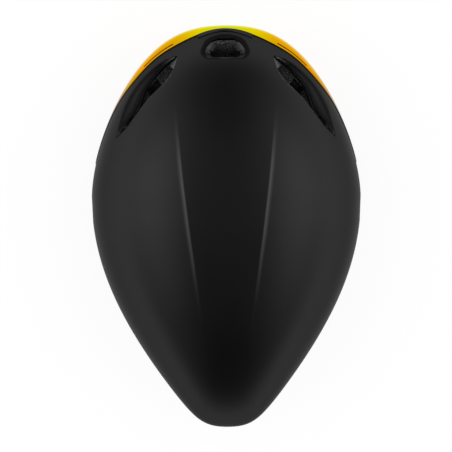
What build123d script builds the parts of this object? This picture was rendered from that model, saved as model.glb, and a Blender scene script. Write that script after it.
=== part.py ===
from build123d import *
import math
import os

# Aero time trial helmet, in millimetres. The front points to -Y, the tail to +Y and the crown up.
# The origin is under the middle of the whole helmet, on the plane of the ear covers' lower edges.

# Outer form
front_reach = 146.8
rear_reach = 193.6
half_width = 114.4
crown_height = 185.0
front_waist = 78.0
side_waist = 62.0
tail_waist = 95.0
crown_setback = 7.0
section_squareness = 0.4

# Walls and clearances
shell_wall = 2.2
visor_wall = 2.0
visor_proud = 0.6
seat_wall = 2.0
fit_gap = 0.3
edge_gap = 0.6
overrun = 4.0

# Head space
head_half_width = 80.0
head_half_length = 100.0
head_dome = 95.0
head_dome_base = 55.0
head_setback = 12.0

# Lower edges
ear_flat_front = 29.0
ear_flat_rear = 37.0
ear_liner_height = 38.0
liner_tail_cut = 128.0
seat_band_up = 2.0
seat_band_down = 12.0
seat_end = 38.0

# Front vent, seen from above
brow_vent_half_width = 18.5
brow_vent_front = 10.0
brow_vent_length = 17.6
brow_duct_width = 30.0
brow_duct_height = 15.0
brow_duct_rake = 40.0
brow_vent_depth = 14.0

# Side vents, seen from above
scoop_floor_height = 117.0
scoop_wall = 1.5
scoop_duct_width = 12.0
scoop_duct_length = 30.0

# Visor details
slot_width = 1.8
slot_drop = 5.0
slot_front = 16.0
slot_length = 19.0
magnet_radius = 4.0
magnet_thickness = 1.2
trim_half_width = 23.0
trim_wall = 0.9
trim_height = 5.0

# Tail
panel_wall = 2.2
panel_rise = 1.0
panel_start = 104.0
louvre_length = 34.0
louvre_width = 4.0
louvre_pitch = 11.0
louvre_count = 4
port_half_width = 24.0
port_height = 12.0
port_depth = 22.0
grille_wall = 1.6
grille_bar = 2.0
grille_bars = 5

# Pads
pad_thickness = 5.0
brow_pad_height = 20.0
brow_pad_low = 88.0
crown_pad_width = 22.0
crown_pad_length = 110.0
crown_pad_offset = 32.0
temple_pad_length = 56.0
temple_pad_height = 20.0
temple_pad_low = 68.0
ear_pad_thickness = 8.0
ear_pad_length = 50.0
ear_pad_height = 12.0
ear_pad_low = 23.0

# Head band and dial
band_wall = 2.0
band_height = 16.0
band_gap = 3.0
band_travel = 6.0
band_centre_height = 34.0
temple_height = 56.0
temple_pin_radius = 2.4
temple_pin_length = 12.0
temple_bore_gap = 0.1
socket_radius = 5.0
band_end_radius = 8.0
pinion_teeth = 12
pinion_pitch_radius = 5.0
tooth_reach = 0.7
tooth_root = 0.85
tooth_thickness_share = 0.36
rack_reach = 9.0
rack_toothed_length = 20.0
yoke_half_width = 24.0
yoke_height = 26.0
yoke_wall = 2.4
yoke_corner = 4.0
knob_radius = 14.0
knob_depth = 10.0
knob_wall = 2.0
knob_scallops = 14
scallop_radius = 2.2
shaft_radius = 2.0
shaft_gap = 0.05
stem_width = 14.0
stem_wall = 2.0
stem_top = 80.0
peg_height = 4.0
peg_width = 8.0
peg_low = 63.0
track_width = 22.0
track_wall = 3.0
track_gap = 1.0
track_low = 58.0
track_high = 92.0
lift_travel = 9.0
spring_radius = 9.0
spring_wall = 0.8
screw_radius = 1.5
screw_head_radius = 2.6
screw_head_height = 1.4
nape_pad_width = 16.0
nape_pad_height = 20.0
nape_pad_thickness = 4.0

# Straps and buckle
web_width = 14.0
web_wall = 1.6
web_plane = 84.0
web_low = 2.0
front_anchor_setback = 34.0
rear_anchor_setback = 31.0
anchor_length = 20.0
anchor_width = 9.0
anchor_wall = 3.0
divider_length = 30.0
divider_width = 7.0
divider_height = 16.0
divider_wall = 1.8
lever_wall = 2.4
lever_length = 12.0
lever_width = 18.0
lever_pin_radius = 0.9
lever_pin_gap = 0.06
chin_radius = 35.0
chin_front = 82.0
buckle_length = 22.0
buckle_height = 17.0
buckle_wall = 6.0
tongue_length = 18.0
tongue_rail = 3.0
buckle_magnet_radius = 3.5
buckle_magnet_wall = 2.0
buckle_magnet_x = -12.5
buckle_floor = 2.5
tongue_slot_depth = 6.0
keeper_length = 7.0
keeper_wall = 1.4
keeper_place = 40.0
tail_web_length = 30.0
chin_pad_wall = 3.0

# Derived places
tail_y = (front_reach + visor_proud + rear_reach) / 2
widest_y = tail_y - rear_reach
tip_y = widest_y - front_reach
crown_y = widest_y - crown_setback
head_y = widest_y - head_setback
span = 2 * half_width
height_limit = crown_height + overrun


def bezier(points, t):
    while len(points) > 1:
        points = [a + (b - a) * t for a, b in zip(points, points[1:])]
    return points[0]


def curve_value(values, places, place):
    low, high = 0.0, 1.0
    for _ in range(40):
        t = (low + high) / 2
        if bezier(places, t) < place:
            low = t
        else:
            high = t
    return bezier(values, (low + high) / 2)


# Bezier weights of the plan outline and of the spine, as shares of the sizes that they follow
front_plan_shares = (0, 0.42, 0.665, 1, 1)
front_plan_place_shares = (1, 1, 0.88, 0.36, 0)
rear_plan_shares = (1, 1, 0.19, 0.365, 0)
rear_plan_place_shares = (0, 0.58, 0.875, 1, 1)
front_spine_shares = (0, 0.673, 1, 1)
front_spine_place_shares = (1, 1, 0.556, 0)
rear_spine_shares = (1, 1, 0.611, 0)
rear_spine_place_shares = (0, 0.449, 0.988, 1)


def form_width(y, inset):
    width = half_width - inset
    if y < widest_y:
        reach = front_reach - inset
        values = [width * share for share in front_plan_shares]
        places = [widest_y - reach * share for share in front_plan_place_shares]
    else:
        reach = rear_reach - inset
        values = [width * share for share in rear_plan_shares]
        places = [widest_y + reach * share for share in rear_plan_place_shares]
    return curve_value(values, places, y)


def form_top(y, inset):
    top = crown_height - inset
    if y < crown_y:
        reach = crown_y - tip_y - inset
        values = [front_waist + (top - front_waist) * share for share in front_spine_shares]
        places = [crown_y - reach * share for share in front_spine_place_shares]
    else:
        reach = tail_y - crown_y - inset
        values = [tail_waist + (top - tail_waist) * share for share in rear_spine_shares]
        places = [crown_y + reach * share for share in rear_spine_place_shares]
    return curve_value(values, places, y)


def form_waist(y):
    if y < widest_y:
        return side_waist + (front_waist - side_waist) * ((widest_y - y) / front_reach) ** 2
    return side_waist + (tail_waist - side_waist) * ((y - widest_y) / rear_reach) ** 2


section_steps = 12
front_turns = (1.2, 4.5, 11, 20, 31, 44, 60, 76)
rear_turns = (0, 14, 28, 42, 56, 68, 78, 85, 88.7)


def form_section(y, inset):
    width = form_width(y, inset)
    waist = form_waist(y)
    height = form_top(y, inset) - waist
    points = []
    for step in range(section_steps):
        turn = math.pi + 2 * math.pi * step / section_steps
        swell = math.sqrt(1 + section_squareness * (math.sin(turn) * math.cos(turn)) ** 2)
        points.append((width * swell * math.sin(turn), y, waist + height * swell * math.cos(turn)))
    return Wire([Spline(*points, periodic=True)])


def form(inset):
    front = [widest_y - (front_reach - inset) * math.cos(math.radians(turn)) for turn in front_turns]
    rear = [widest_y + (rear_reach - inset) * math.sin(math.radians(turn)) for turn in rear_turns]
    return Solid.make_loft([form_section(y, inset) for y in front + rear])


# Outline points, as shares of a reach forward or back from the widest point and of the crown's height
ear_front_shares = ((0.29, 0.43), (0.24, 0.365), (0.205, 0.31), (0.2, 0.255), (0.225, 0.16), (0.25, 0.06))
visor_side_shares = ((0.29, 0.43), (0.24, 0.365), (0.205, 0.31), (0.2, 0.255), (0.235, 0.18),
                     (0.36, 0.11), (0.6, 0.045), (0.8, 0.025), (1.04, 0.02))
rear_rim_shares = ((0.25, 0.03), (0.33, 0.12), (0.43, 0.25), (0.55, 0.335), (0.7, 0.38), (1.05, 0.42))

# The edge between shell and visor, as shares of the half width, the front reach and the crown's height
brow_edge_shares = ((0, 0.979, 0.573), (0.2, 0.957, 0.62), (0.36, 0.898, 0.646), (0.52, 0.822, 0.625),
                    (0.665, 0.704, 0.585), (0.79, 0.563, 0.5), (0.885, 0.4, 0.42), (0.965, 0.205, 0.342),
                    (0.985, 0.08, 0.29))
edge_inner_share = 0.15
edge_outer_share = 1.35
liner_low_front_shares = ((1.04, 0.49), (0.85, 0.5), (0.7, 0.455), (0.52, 0.36), (0.4, 0.27), (0.27, 0.205))
liner_low_rear_shares = ((0.22, 0.205), (0.33, 0.25), (0.43, 0.32), (0.55, 0.372), (0.75, 0.42))
rear_rim_end_share = 0.1

# Vent outlines seen from above, as shares of the half width and the front reach
leaf_inner_shares = ((0.357, 0.824), (0.394, 0.732), (0.453, 0.668), (0.56, 0.587), (0.679, 0.465),
                     (0.815, 0.352))
leaf_outer_shares = ((0.357, 0.824), (0.453, 0.795), (0.56, 0.732), (0.702, 0.593), (0.783, 0.436),
                     (0.815, 0.352))
scoop_inner_shares = ((0.357, 0.824), (0.446, 0.769), (0.513, 0.714), (0.587, 0.639), (0.65, 0.512),
                      (0.815, 0.352))
brow_shoulder_share = 0.3

# Where the ducts start and what they aim at in the head space
brow_duct_start_share = 0.71
leaf_duct_shares = (0.53, 0.62)
leaf_run_share = -0.6
duct_goal_shares = (0.45, 0.55, 0.4)

# Magnet places, as shares of the front reach and turns in degrees from the top
magnet_spots = ((0.992, 0), (0.49, 84), (0.49, -84))

# Places and proportions inside single pieces
brow_pad_share = 0.62
temple_pad_share = 0.45
ear_pad_share = 0.5
screw_place_share = 0.78
tooth_flare_share = 0.12
spring_slot_share = 0.75
rail_half_share = 0.6
neck_half_share = 0.3


def ahead(shares, forward=0.0):
    return [(widest_y - front_reach * y - forward, crown_height * z) for y, z in shares]


def behind(shares):
    return [(widest_y + rear_reach * y, crown_height * z) for y, z in shares]


def side_prism(edges):
    face = Plane.YZ * Face(Wire(edges))
    return extrude(face, amount=span, both=True)


def plan_prism(edges, low, high):
    face = Pos(0, 0, low) * Face(Wire(edges))
    return extrude(face, amount=high - low, dir=(0, 0, 1))


def closed_by(*curves):
    edges = []
    for index, curve in enumerate(curves):
        following = curves[(index + 1) % len(curves)]
        edges.append(curve)
        if (curve @ 1 - following @ 0).length > 1e-6:
            edges.append(Line(curve @ 1, following @ 0))
    return edges


def both_sides(solid):
    return [solid, mirror(solid, Plane.YZ)]


def box_between(low, high):
    size = [b - a for a, b in zip(low, high)]
    centre = [(a + b) / 2 for a, b in zip(low, high)]
    return Pos(*centre) * Box(*size)


def ellipse_ring(outer_x, outer_y, wall, low, high):
    ring = Ellipse(outer_x, outer_y) - Ellipse(outer_x - wall, outer_y - wall)
    return Pos(0, head_y, low) * extrude(ring, amount=high - low)


def dome(shrink):
    ball = scale(Sphere(1), by=(head_half_width - shrink, head_half_length - shrink, head_dome - shrink))
    return Pos(0, head_y, head_dome_base) * ball


# Places on the outer form, used by the magnets
def form_point(y, turn):
    swell = math.sqrt(1 + section_squareness * (math.sin(turn) * math.cos(turn)) ** 2)
    waist = form_waist(y)
    height = form_top(y, 0) - waist
    return Vector(form_width(y, 0) * swell * math.sin(turn), y, waist + height * swell * math.cos(turn))


def inward_plane(y, turn):
    step = fit_gap
    small_turn = step / half_width
    along = form_point(y + step, turn) - form_point(y - step, turn)
    around = form_point(y, turn + small_turn) - form_point(y, turn - small_turn)
    inward = along.cross(around).normalized()
    place = form_point(y, turn)
    if inward.dot(Vector(0, widest_y, side_waist) - place) < 0:
        inward = inward * -1
    return Plane(origin=place, z_dir=inward)


def disc(plane, radius, start, depth):
    return plane * Pos(0, 0, start) * Cylinder(radius, depth, align=(Align.CENTER, Align.CENTER, Align.MIN))


def brow_curve(reach_share, rise):
    points = []
    for x, y, z in brow_edge_shares:
        place_y = head_y + (widest_y - front_reach * y - head_y) * reach_share
        points.append((half_width * x * reach_share, place_y, crown_height * z + rise))
    mirrored = [(-x, y, z) for x, y, z in reversed(points[1:])]
    return Spline(*mirrored, *points)


def brow_band(low, high):
    inner = brow_curve(edge_inner_share, low)
    face = Face.make_surface_from_curves(inner, brow_curve(edge_outer_share, low))
    return Part() + extrude(face, amount=high - low, dir=(0, 0, 1))


def front_prism(outline):
    start = outline @ 0
    end = outline @ 1
    far = tip_y - overrun
    return side_prism([outline, *Polyline(end, (far, end.Y), (far, height_limit), (start.X, height_limit),
                                          start).edges()])


def shell_prism():
    heel = (widest_y + ear_flat_rear, 0)
    rear = Spline(heel, *behind(rear_rim_shares), tangents=[(1, 0), (1, rear_rim_end_share)])
    far = tip_y - overrun
    around = Polyline(rear @ 1, ((rear @ 1).X, height_limit), (far, height_limit), (far, 0), heel)
    return side_prism([rear, *around.edges()])


def ear_front_prism():
    corner = (widest_y - ear_flat_front, 0)
    below = (widest_y - ear_flat_front, -overrun)
    edge = Spline(*ahead(ear_front_shares), corner)
    far = tip_y - overrun
    start = edge @ 0
    around = Polyline(corner, below, (far, -overrun), (far, height_limit), (start.X, height_limit), start)
    return side_prism([edge, *around.edges()])


def leaf_edges(inner_shares):
    inner = [(half_width * x, widest_y - front_reach * y) for x, y in inner_shares]
    outer = [(half_width * x, widest_y - front_reach * y) for x, y in leaf_outer_shares]
    return [Spline(*inner), Spline(*reversed(outer))]


def leaf_prism(low):
    return plan_prism(leaf_edges(leaf_inner_shares), low, height_limit)


def brow_vent_prism(low):
    front_y = tip_y + brow_vent_front
    rear_y = front_y + brow_vent_length
    side = brow_vent_half_width
    shoulder = brow_vent_length * brow_shoulder_share
    front = Spline((-side, rear_y - shoulder), (0, front_y), (side, rear_y - shoulder),
                   tangents=[(0, -1), (0, 1)])
    rear = Spline((side, rear_y - shoulder), (0, rear_y), (-side, rear_y - shoulder),
                  tangents=[(0, 1), (0, -1)])
    return plan_prism([front, rear], low, height_limit)


def port_box(margin, start):
    top = tail_waist - panel_rise
    return box_between((-port_half_width - margin, start, top - port_height - margin),
                       (port_half_width + margin, tail_y + overrun, top + margin))


def outer_shell():
    solid = form(0) & shell_prism()
    solid = solid - (ear_front_prism() - brow_band(0, crown_height))
    for cut in both_sides(leaf_prism(scoop_floor_height - overrun)):
        solid = solid - cut
    solid = solid - brow_vent_prism(front_waist)
    solid = solid - port_box(0, tail_y - port_depth)
    return solid - form(shell_wall)


def visor_lens():
    outline = Spline(*ahead(visor_side_shares, edge_gap))
    solid = form(-visor_proud) & front_prism(outline)
    solid = solid - brow_band(-edge_gap, crown_height)
    solid = solid - form(visor_wall - visor_proud)
    slot_start = tip_y + slot_front
    slot = brow_band(-slot_drop - slot_width, -slot_drop)
    slot = slot & box_between((-span, slot_start, 0), (span, slot_start + slot_length, height_limit))
    return solid - slot


def visor_seat(inner):
    outer = shell_wall + fit_gap
    solid = inner & brow_band(-seat_band_down, seat_band_up)
    solid = solid & box_between((-span, tip_y, 0), (span, widest_y - seat_end, height_limit))
    solid = solid - form(outer + seat_wall)
    for cut in both_sides(leaf_prism(scoop_floor_height - 2 * fit_gap)):
        solid = solid - cut
    for place in magnet_places():
        solid = solid - disc(place, magnet_radius + fit_gap, 0, 2 * (outer + seat_wall))
    return solid


def magnet_places():
    return [inward_plane(widest_y - front_reach * y, math.radians(turn)) for y, turn in magnet_spots]


def magnets(start, depth):
    return Compound([disc(place, magnet_radius, start, depth) for place in magnet_places()])


def brow_trim():
    zone = box_between((-trim_half_width, tip_y - overrun, 0),
                       (trim_half_width, tip_y + brow_vent_front, span))
    zone = zone & brow_band(fit_gap, fit_gap + trim_height)
    return (form(-fit_gap - trim_wall) & zone) - form(-fit_gap)


def liner_prism():
    front = Spline(*ahead(liner_low_front_shares))
    rear = Spline(*behind(liner_low_rear_shares))
    end_y = widest_y + liner_tail_cut
    wall = Line((end_y, (rear @ 1).Y), (end_y, height_limit))
    top = Line(wall @ 1, ((front @ 0).X, height_limit))
    return side_prism(closed_by(front, rear, wall, top))


def head_space():
    well = Pos(0, head_y, 0) * extrude(Ellipse(head_half_width, head_half_length), amount=head_dome_base)
    return well + dome(0)


def brow_duct():
    start = Vector(0, tip_y + brow_vent_front + brow_vent_length / 2, crown_height * brow_duct_start_share)
    rake = math.radians(brow_duct_rake)
    way = Plane(origin=start, x_dir=(1, 0, 0), z_dir=(0, math.cos(rake), -math.sin(rake)))
    tube = Box(brow_duct_width, brow_duct_height, 2 * brow_vent_depth + head_half_length / 2,
               align=(Align.CENTER, Align.CENTER, Align.MIN))
    return way * Pos(0, 0, -brow_vent_depth / 2) * tube


def leaf_duct():
    start = Vector(half_width * leaf_duct_shares[0], widest_y - front_reach * leaf_duct_shares[1],
                   scoop_floor_height + scoop_duct_width / 2)
    goal = Vector(head_half_width * duct_goal_shares[0], head_y - head_half_length * duct_goal_shares[1],
                  head_dome_base + head_dome * duct_goal_shares[2])
    way = Plane(origin=start, x_dir=(leaf_run_share, 1, 0), z_dir=goal - start)
    length = (goal - start).length
    tube = Box(scoop_duct_length, scoop_duct_width, length, align=(Align.CENTER, Align.CENTER, Align.MIN))
    return way * tube


def socket_hole(radius, start, length):
    return Pos(start, head_y, temple_height) * Rot(0, 90, 0) * Cylinder(
        radius, length, align=(Align.CENTER, Align.CENTER, Align.MIN))


def foam_liner(inner):
    solid = inner & liner_prism()
    solid = solid - head_space()
    recess = brow_band(-seat_band_down - 2 * fit_gap, seat_band_up + 2 * fit_gap)
    rear_y = widest_y - seat_end + fit_gap
    recess = recess & box_between((-span, tip_y - span, 0), (span, rear_y, height_limit))
    solid = solid - (recess - form(shell_wall + seat_wall + 3 * fit_gap))
    solid = solid - brow_vent_prism(crown_height * brow_duct_start_share - brow_vent_depth / 2)
    solid = solid - brow_duct()
    for cut in both_sides(leaf_prism(scoop_floor_height - fit_gap)) + both_sides(leaf_duct()):
        solid = solid - cut
    for cut in both_sides(socket_hole(socket_radius + fit_gap, head_half_width - overrun,
                                      temple_pin_length + overrun + 2 * fit_gap)):
        solid = solid - cut
    for place in magnet_places():
        solid = solid - disc(place, magnet_radius + fit_gap, 0, shell_wall + seat_wall + 3 * fit_gap)
    return solid - track_channel()


def vent_scoop(inner):
    floor = plan_prism(leaf_edges(scoop_inner_shares), scoop_floor_height, scoop_floor_height + scoop_wall)
    return (floor & leaf_prism(scoop_floor_height - fit_gap)) & inner


def tail_strip(low, high):
    points = behind(rear_rim_shares)[2:]
    lower = Spline(*[(y, z + low) for y, z in points])
    upper = Spline(*[(y, z + high) for y, z in reversed(points)])
    return side_prism(closed_by(lower, upper))


def tail_panel(inner):
    solid = inner & tail_strip(panel_rise, panel_rise + panel_wall)
    start = widest_y + panel_start
    solid = solid & box_between((-span, start, 0), (span, tail_y + overrun, height_limit))
    for index in range(louvre_count):
        y = start + louvre_pitch * (index + 2)
        solid = solid - box_between((-louvre_length / 2, y, 0),
                                    (louvre_length / 2, y + louvre_width, tail_waist))
    return solid


def exhaust_grille(inner):
    start = tail_y - port_depth - overrun
    zone = port_box(grille_wall, start) - box_between((-span, start, 0), (span, tail_y + overrun,
                    tail_waist - panel_rise - port_height - grille_wall + fit_gap))
    solid = (inner & zone) - form(shell_wall + fit_gap + grille_wall)
    pitch = 2 * port_half_width / (grille_bars + 1)
    top = tail_waist - panel_rise
    for index in range(grille_bars + 1):
        x = -port_half_width + pitch * (index + 0.5)
        half = (pitch - grille_bar) / 2
        solid = solid - box_between((x - half, start, top - port_height + grille_bar),
                                    (x + half, tail_y + overrun, top - grille_bar))
    return solid


def dome_pad(low, high):
    layer = dome(fit_gap) - dome(fit_gap + pad_thickness)
    return layer & box_between(low, high)


def brow_pad():
    reach = head_half_width * brow_pad_share
    return dome_pad((-reach, head_y - head_half_length, brow_pad_low),
                    (reach, head_y - head_half_length / 2, brow_pad_low + brow_pad_height))


def crown_pad():
    low_x = crown_pad_offset - crown_pad_width / 2
    return dome_pad((low_x, head_y - crown_pad_length / 2, brow_pad_low + brow_pad_height),
                    (low_x + crown_pad_width, head_y + crown_pad_length / 2, height_limit))


def temple_pad():
    start = head_y - temple_pad_length * temple_pad_share
    return dome_pad((head_half_width / 2, start, temple_pad_low),
                    (span, start + temple_pad_length, temple_pad_low + temple_pad_height))


def ear_pad(inner):
    start = widest_y - ear_pad_length * ear_pad_share
    zone = box_between((0, start, ear_pad_low), (span, start + ear_pad_length, ear_pad_low + ear_pad_height))
    return (inner & zone) - form(shell_wall + fit_gap + ear_pad_thickness)


# Head band, its racks and the dial, placed from the band's own ellipse
band_x = head_half_width - band_gap
band_y = head_half_length - band_gap
rack_end_x = yoke_half_width + band_wall + band_travel
rack_outer_y = head_y + band_y * math.sqrt(1 - (rack_end_x / band_x) ** 2)
rack_inner_y = rack_outer_y - band_wall
cover_rear_y = rack_inner_y - fit_gap
cover_front_y = cover_rear_y - yoke_wall
yoke_rear_y = rack_outer_y + fit_gap + yoke_wall
knob_front_y = yoke_rear_y + fit_gap
knob_rear_y = knob_front_y + knob_depth
yoke_low = band_centre_height - yoke_height / 2
yoke_high = band_centre_height + yoke_height / 2
channel_half_height = band_height / 2 + fit_gap
track_front_y = yoke_rear_y + fit_gap + track_gap
track_rear_y = track_front_y + track_wall
peg_rear_y = track_rear_y - fit_gap
tooth_pitch = 2 * math.pi * pinion_pitch_radius / pinion_teeth


def track_channel():
    side = track_width / 2 + fit_gap
    return box_between((-side, head_y, ear_liner_height),
                       (side, track_rear_y + fit_gap, track_high + fit_gap))


def along_y(radius, start, end, x=0.0, z=0.0):
    tube = Cylinder(radius, end - start, align=(Align.CENTER, Align.CENTER, Align.MIN))
    return Pos(x, start, z) * Rot(-90, 0, 0) * tube


def rack():
    pitch_line = band_centre_height + pinion_pitch_radius
    top = band_centre_height + band_height / 2
    root = pitch_line + tooth_root
    tip = pitch_line - tooth_reach
    outline = [(rack_end_x, top), (-rack_reach, top), (-rack_reach, root)]
    first = -rack_reach + tooth_pitch
    count = int(rack_toothed_length / tooth_pitch)
    for index in range(-count, count):
        centre = (index + 0.5) * tooth_pitch
        if -rack_reach + tooth_pitch / 2 < centre < rack_toothed_length - rack_reach:
            root_half = tooth_pitch * (tooth_thickness_share + tooth_flare_share) / 2
            tip_half = tooth_pitch * (tooth_thickness_share - tooth_flare_share) / 2
            outline += [(centre - root_half, root), (centre - tip_half, tip),
                        (centre + tip_half, tip), (centre + root_half, root)]
    outline.append((rack_end_x, root))
    face = Face(Wire(Polyline(*outline, close=True).edges()))
    return extrude(Plane(origin=(0, rack_outer_y, 0), x_dir=(1, 0, 0), z_dir=(0, -1, 0)) * face,
                   amount=band_wall)


def band_arm():
    ring = ellipse_ring(band_x, band_y, band_wall, yoke_low, head_dome_base + band_height)
    ring = ring & box_between((rack_end_x - band_wall, head_y - band_end_radius, 0), (span, tail_y, span))
    rear = (rack_outer_y, band_centre_height)
    front = (head_y, temple_height)
    half = band_height / 2
    ahead_y = head_y - band_end_radius
    slope = (front[1] - rear[1]) / (rear[0] - front[0])
    far_y = rack_outer_y + band_wall
    far_z = rear[1] - slope * band_wall
    near_z = front[1]
    outline = Polyline((far_y, far_z - half), (head_y, near_z - half), (ahead_y, near_z - half),
                       (ahead_y, near_z + half), (head_y, near_z + half), (far_y, far_z + half), close=True)
    strip = ring & side_prism(outline.edges())
    hole = socket_hole(temple_pin_radius + shaft_gap, head_half_width - 2 * pad_thickness, 2 * pad_thickness)
    return strip - hole


def left_arm():
    return band_arm() + rack()


def right_arm():
    turned = Pos(0, 0, band_centre_height) * Rot(0, 180, 0) * Pos(0, 0, -band_centre_height) * rack()
    return mirror(band_arm(), Plane.YZ) + turned


def temple_pin():
    inner = band_x - band_wall - fit_gap
    shaft = socket_hole(temple_pin_radius, inner, temple_pin_length + band_wall)
    return shaft + socket_hole(band_end_radius / 2, inner - band_wall / 2, band_wall / 2)


def temple_socket():
    start = head_half_width + fit_gap
    outer = socket_hole(socket_radius, start, temple_pin_length)
    return outer - socket_hole(temple_pin_radius + temple_bore_gap, start - overrun,
                               temple_pin_length + 2 * overrun)


def yoke_holes(radius, start, end):
    x = yoke_half_width * screw_place_share
    offset = (yoke_height / 2 + channel_half_height) / 2
    return [along_y(radius, start, end, side * x, band_centre_height + up * offset)
            for side in (-1, 1) for up in (-1, 1)]


def cradle_yoke():
    block = box_between((-yoke_half_width, cover_rear_y + fit_gap, yoke_low),
                        (yoke_half_width, yoke_rear_y, yoke_high))
    block = fillet(block.edges().filter_by(Axis.Y), yoke_corner)
    stem = box_between((-stem_width / 2, yoke_rear_y - stem_wall, yoke_high - overrun),
                       (stem_width / 2, yoke_rear_y, stem_top))
    peg = box_between((-peg_width / 2, yoke_rear_y - stem_wall, peg_low),
                      (peg_width / 2, peg_rear_y, peg_low + peg_height))
    solid = block + stem + peg
    solid = solid - box_between((-span, 0, band_centre_height - channel_half_height),
                                (span, rack_outer_y + fit_gap, band_centre_height + channel_half_height))
    solid = solid - along_y(shaft_radius + shaft_gap, 0, span, 0, band_centre_height)
    for hole in yoke_holes(screw_radius + shaft_gap, 0, yoke_rear_y - fit_gap):
        solid = solid - hole
    return solid


def yoke_cover():
    block = box_between((-yoke_half_width, cover_front_y, yoke_low),
                        (yoke_half_width, cover_rear_y, yoke_high))
    block = fillet(block.edges().filter_by(Axis.Y), yoke_corner)
    block = block - along_y(shaft_radius + shaft_gap, 0, span, 0, band_centre_height)
    for hole in yoke_holes(screw_radius + shaft_gap, 0, span) + yoke_holes(
            screw_head_radius + shaft_gap, 0, cover_front_y + screw_head_height):
        block = block - hole
    return block


def yoke_screws():
    end = yoke_rear_y - 2 * fit_gap
    heads = yoke_holes(screw_head_radius, cover_front_y, cover_front_y + screw_head_height)
    shanks = yoke_holes(screw_radius, cover_front_y, end)
    return Compound([head + shank for head, shank in zip(heads, shanks)])


def dial_knob():
    solid = along_y(knob_radius, knob_front_y, knob_rear_y, 0, band_centre_height)
    solid = fillet(solid.edges().group_by(Axis.Y)[-1], knob_wall / 2)
    inner = knob_radius - scallop_radius - knob_wall / 2
    solid = solid - along_y(inner, 0, knob_rear_y - knob_wall, 0, band_centre_height)
    boss_start = knob_front_y + spring_wall + 2 * fit_gap
    solid = solid + along_y(2 * shaft_radius, boss_start, knob_rear_y - knob_wall / 2, 0, band_centre_height)
    solid = solid - along_y(shaft_radius + shaft_gap / 2, 0, knob_rear_y - knob_wall, 0, band_centre_height)
    reach = knob_radius + scallop_radius / 2
    for index in range(knob_scallops):
        turn = 2 * math.pi * index / knob_scallops
        solid = solid - along_y(scallop_radius, 0, span, reach * math.cos(turn),
                                band_centre_height + reach * math.sin(turn))
    return solid


def pinion_point(radius, turn):
    return (radius * math.cos(turn), radius * math.sin(turn))


def dial_pinion():
    root = pinion_pitch_radius - tooth_root
    tip = pinion_pitch_radius + tooth_reach
    step = 2 * math.pi / pinion_teeth
    outline = []
    for index in range(pinion_teeth):
        middle = index * step
        root_half = step * (tooth_thickness_share + tooth_flare_share) / 2
        tip_half = step * (tooth_thickness_share - tooth_flare_share) / 2
        outline += [pinion_point(root, middle - root_half), pinion_point(tip, middle - tip_half),
                    pinion_point(tip, middle + tip_half), pinion_point(root, middle + root_half)]
    face = Face(Wire(Polyline(*outline, close=True).edges()))
    plane = Plane(origin=(0, rack_inner_y + shaft_gap, band_centre_height), x_dir=(1, 0, 0), z_dir=(0, 1, 0))
    gear = extrude(plane * face, amount=band_wall - 2 * shaft_gap)
    return gear + along_y(shaft_radius, cover_front_y + fit_gap, knob_rear_y - knob_wall - fit_gap,
                          0, band_centre_height)


def detent_spring():
    start = knob_front_y
    end = start + spring_wall
    ring = along_y(spring_radius, start, end, 0, band_centre_height)
    ring = ring - along_y(2 * shaft_radius + fit_gap, 0, span, 0, band_centre_height)
    gap_half = spring_wall
    slot_half = 2 * shaft_radius
    slot = box_between((-slot_half, start - overrun, band_centre_height - gap_half),
                       (slot_half, end + overrun, band_centre_height + gap_half))
    edge = Pos(0, 0, spring_radius * spring_slot_share)
    return ring - edge * slot - edge.inverse() * slot


def height_track():
    side = track_width / 2
    plate = box_between((-side, track_front_y, track_low), (side, track_rear_y, track_high))
    plate = fillet(plate.edges().filter_by(Axis.Y), yoke_corner)
    slot_half = peg_width / 2 + fit_gap
    slot = box_between((-slot_half, 0, peg_low - fit_gap),
                       (slot_half, span, peg_low + peg_height + lift_travel))
    return plate - slot


def nape_pad():
    low_x = yoke_half_width - nape_pad_width - yoke_wall
    low = (low_x, cover_front_y - fit_gap - nape_pad_thickness, band_centre_height - nape_pad_height / 2)
    high = (low_x + nape_pad_width, cover_front_y - fit_gap, band_centre_height + nape_pad_height / 2)
    pad = box_between(low, high)
    return fillet(pad.edges().filter_by(Axis.Y), yoke_corner)


# Straps
divider_y = widest_y
divider_low = web_low + fit_gap
divider_high = divider_low + divider_height
web_high = web_low + web_width - 2 * fit_gap
front_anchor_y = widest_y - front_anchor_setback
rear_anchor_y = widest_y + rear_anchor_setback
anchor_high = ear_liner_height - fit_gap
anchor_low = anchor_high - anchor_wall
chin_y = widest_y - chin_front
chin_corner_y = chin_y + chin_radius
chin_corner_x = web_plane - chin_radius
pin_x = web_plane + divider_width / 2 + lever_pin_radius * 2
pin_z = divider_high - lever_pin_radius * 2


def web_strap_anchor(y):
    plate = box_between((web_plane - anchor_width / 2, y - anchor_length / 2, anchor_low),
                        (web_plane + anchor_width / 2, y + anchor_length / 2, anchor_high))
    return fillet(plate.edges().filter_by(Axis.Z), anchor_wall)


def web_leg(anchor_y, foot_y):
    half = web_width / 2
    top = anchor_low - fit_gap
    low = divider_high + fit_gap
    outline = Polyline((anchor_y - half, top), (anchor_y + half, top), (foot_y + half, low),
                       (foot_y - half, low), close=True)
    face = Plane.YZ * Face(Wire(outline.edges()))
    return Pos(web_plane - web_wall / 2, 0, 0) * extrude(face, amount=web_wall)


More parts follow.
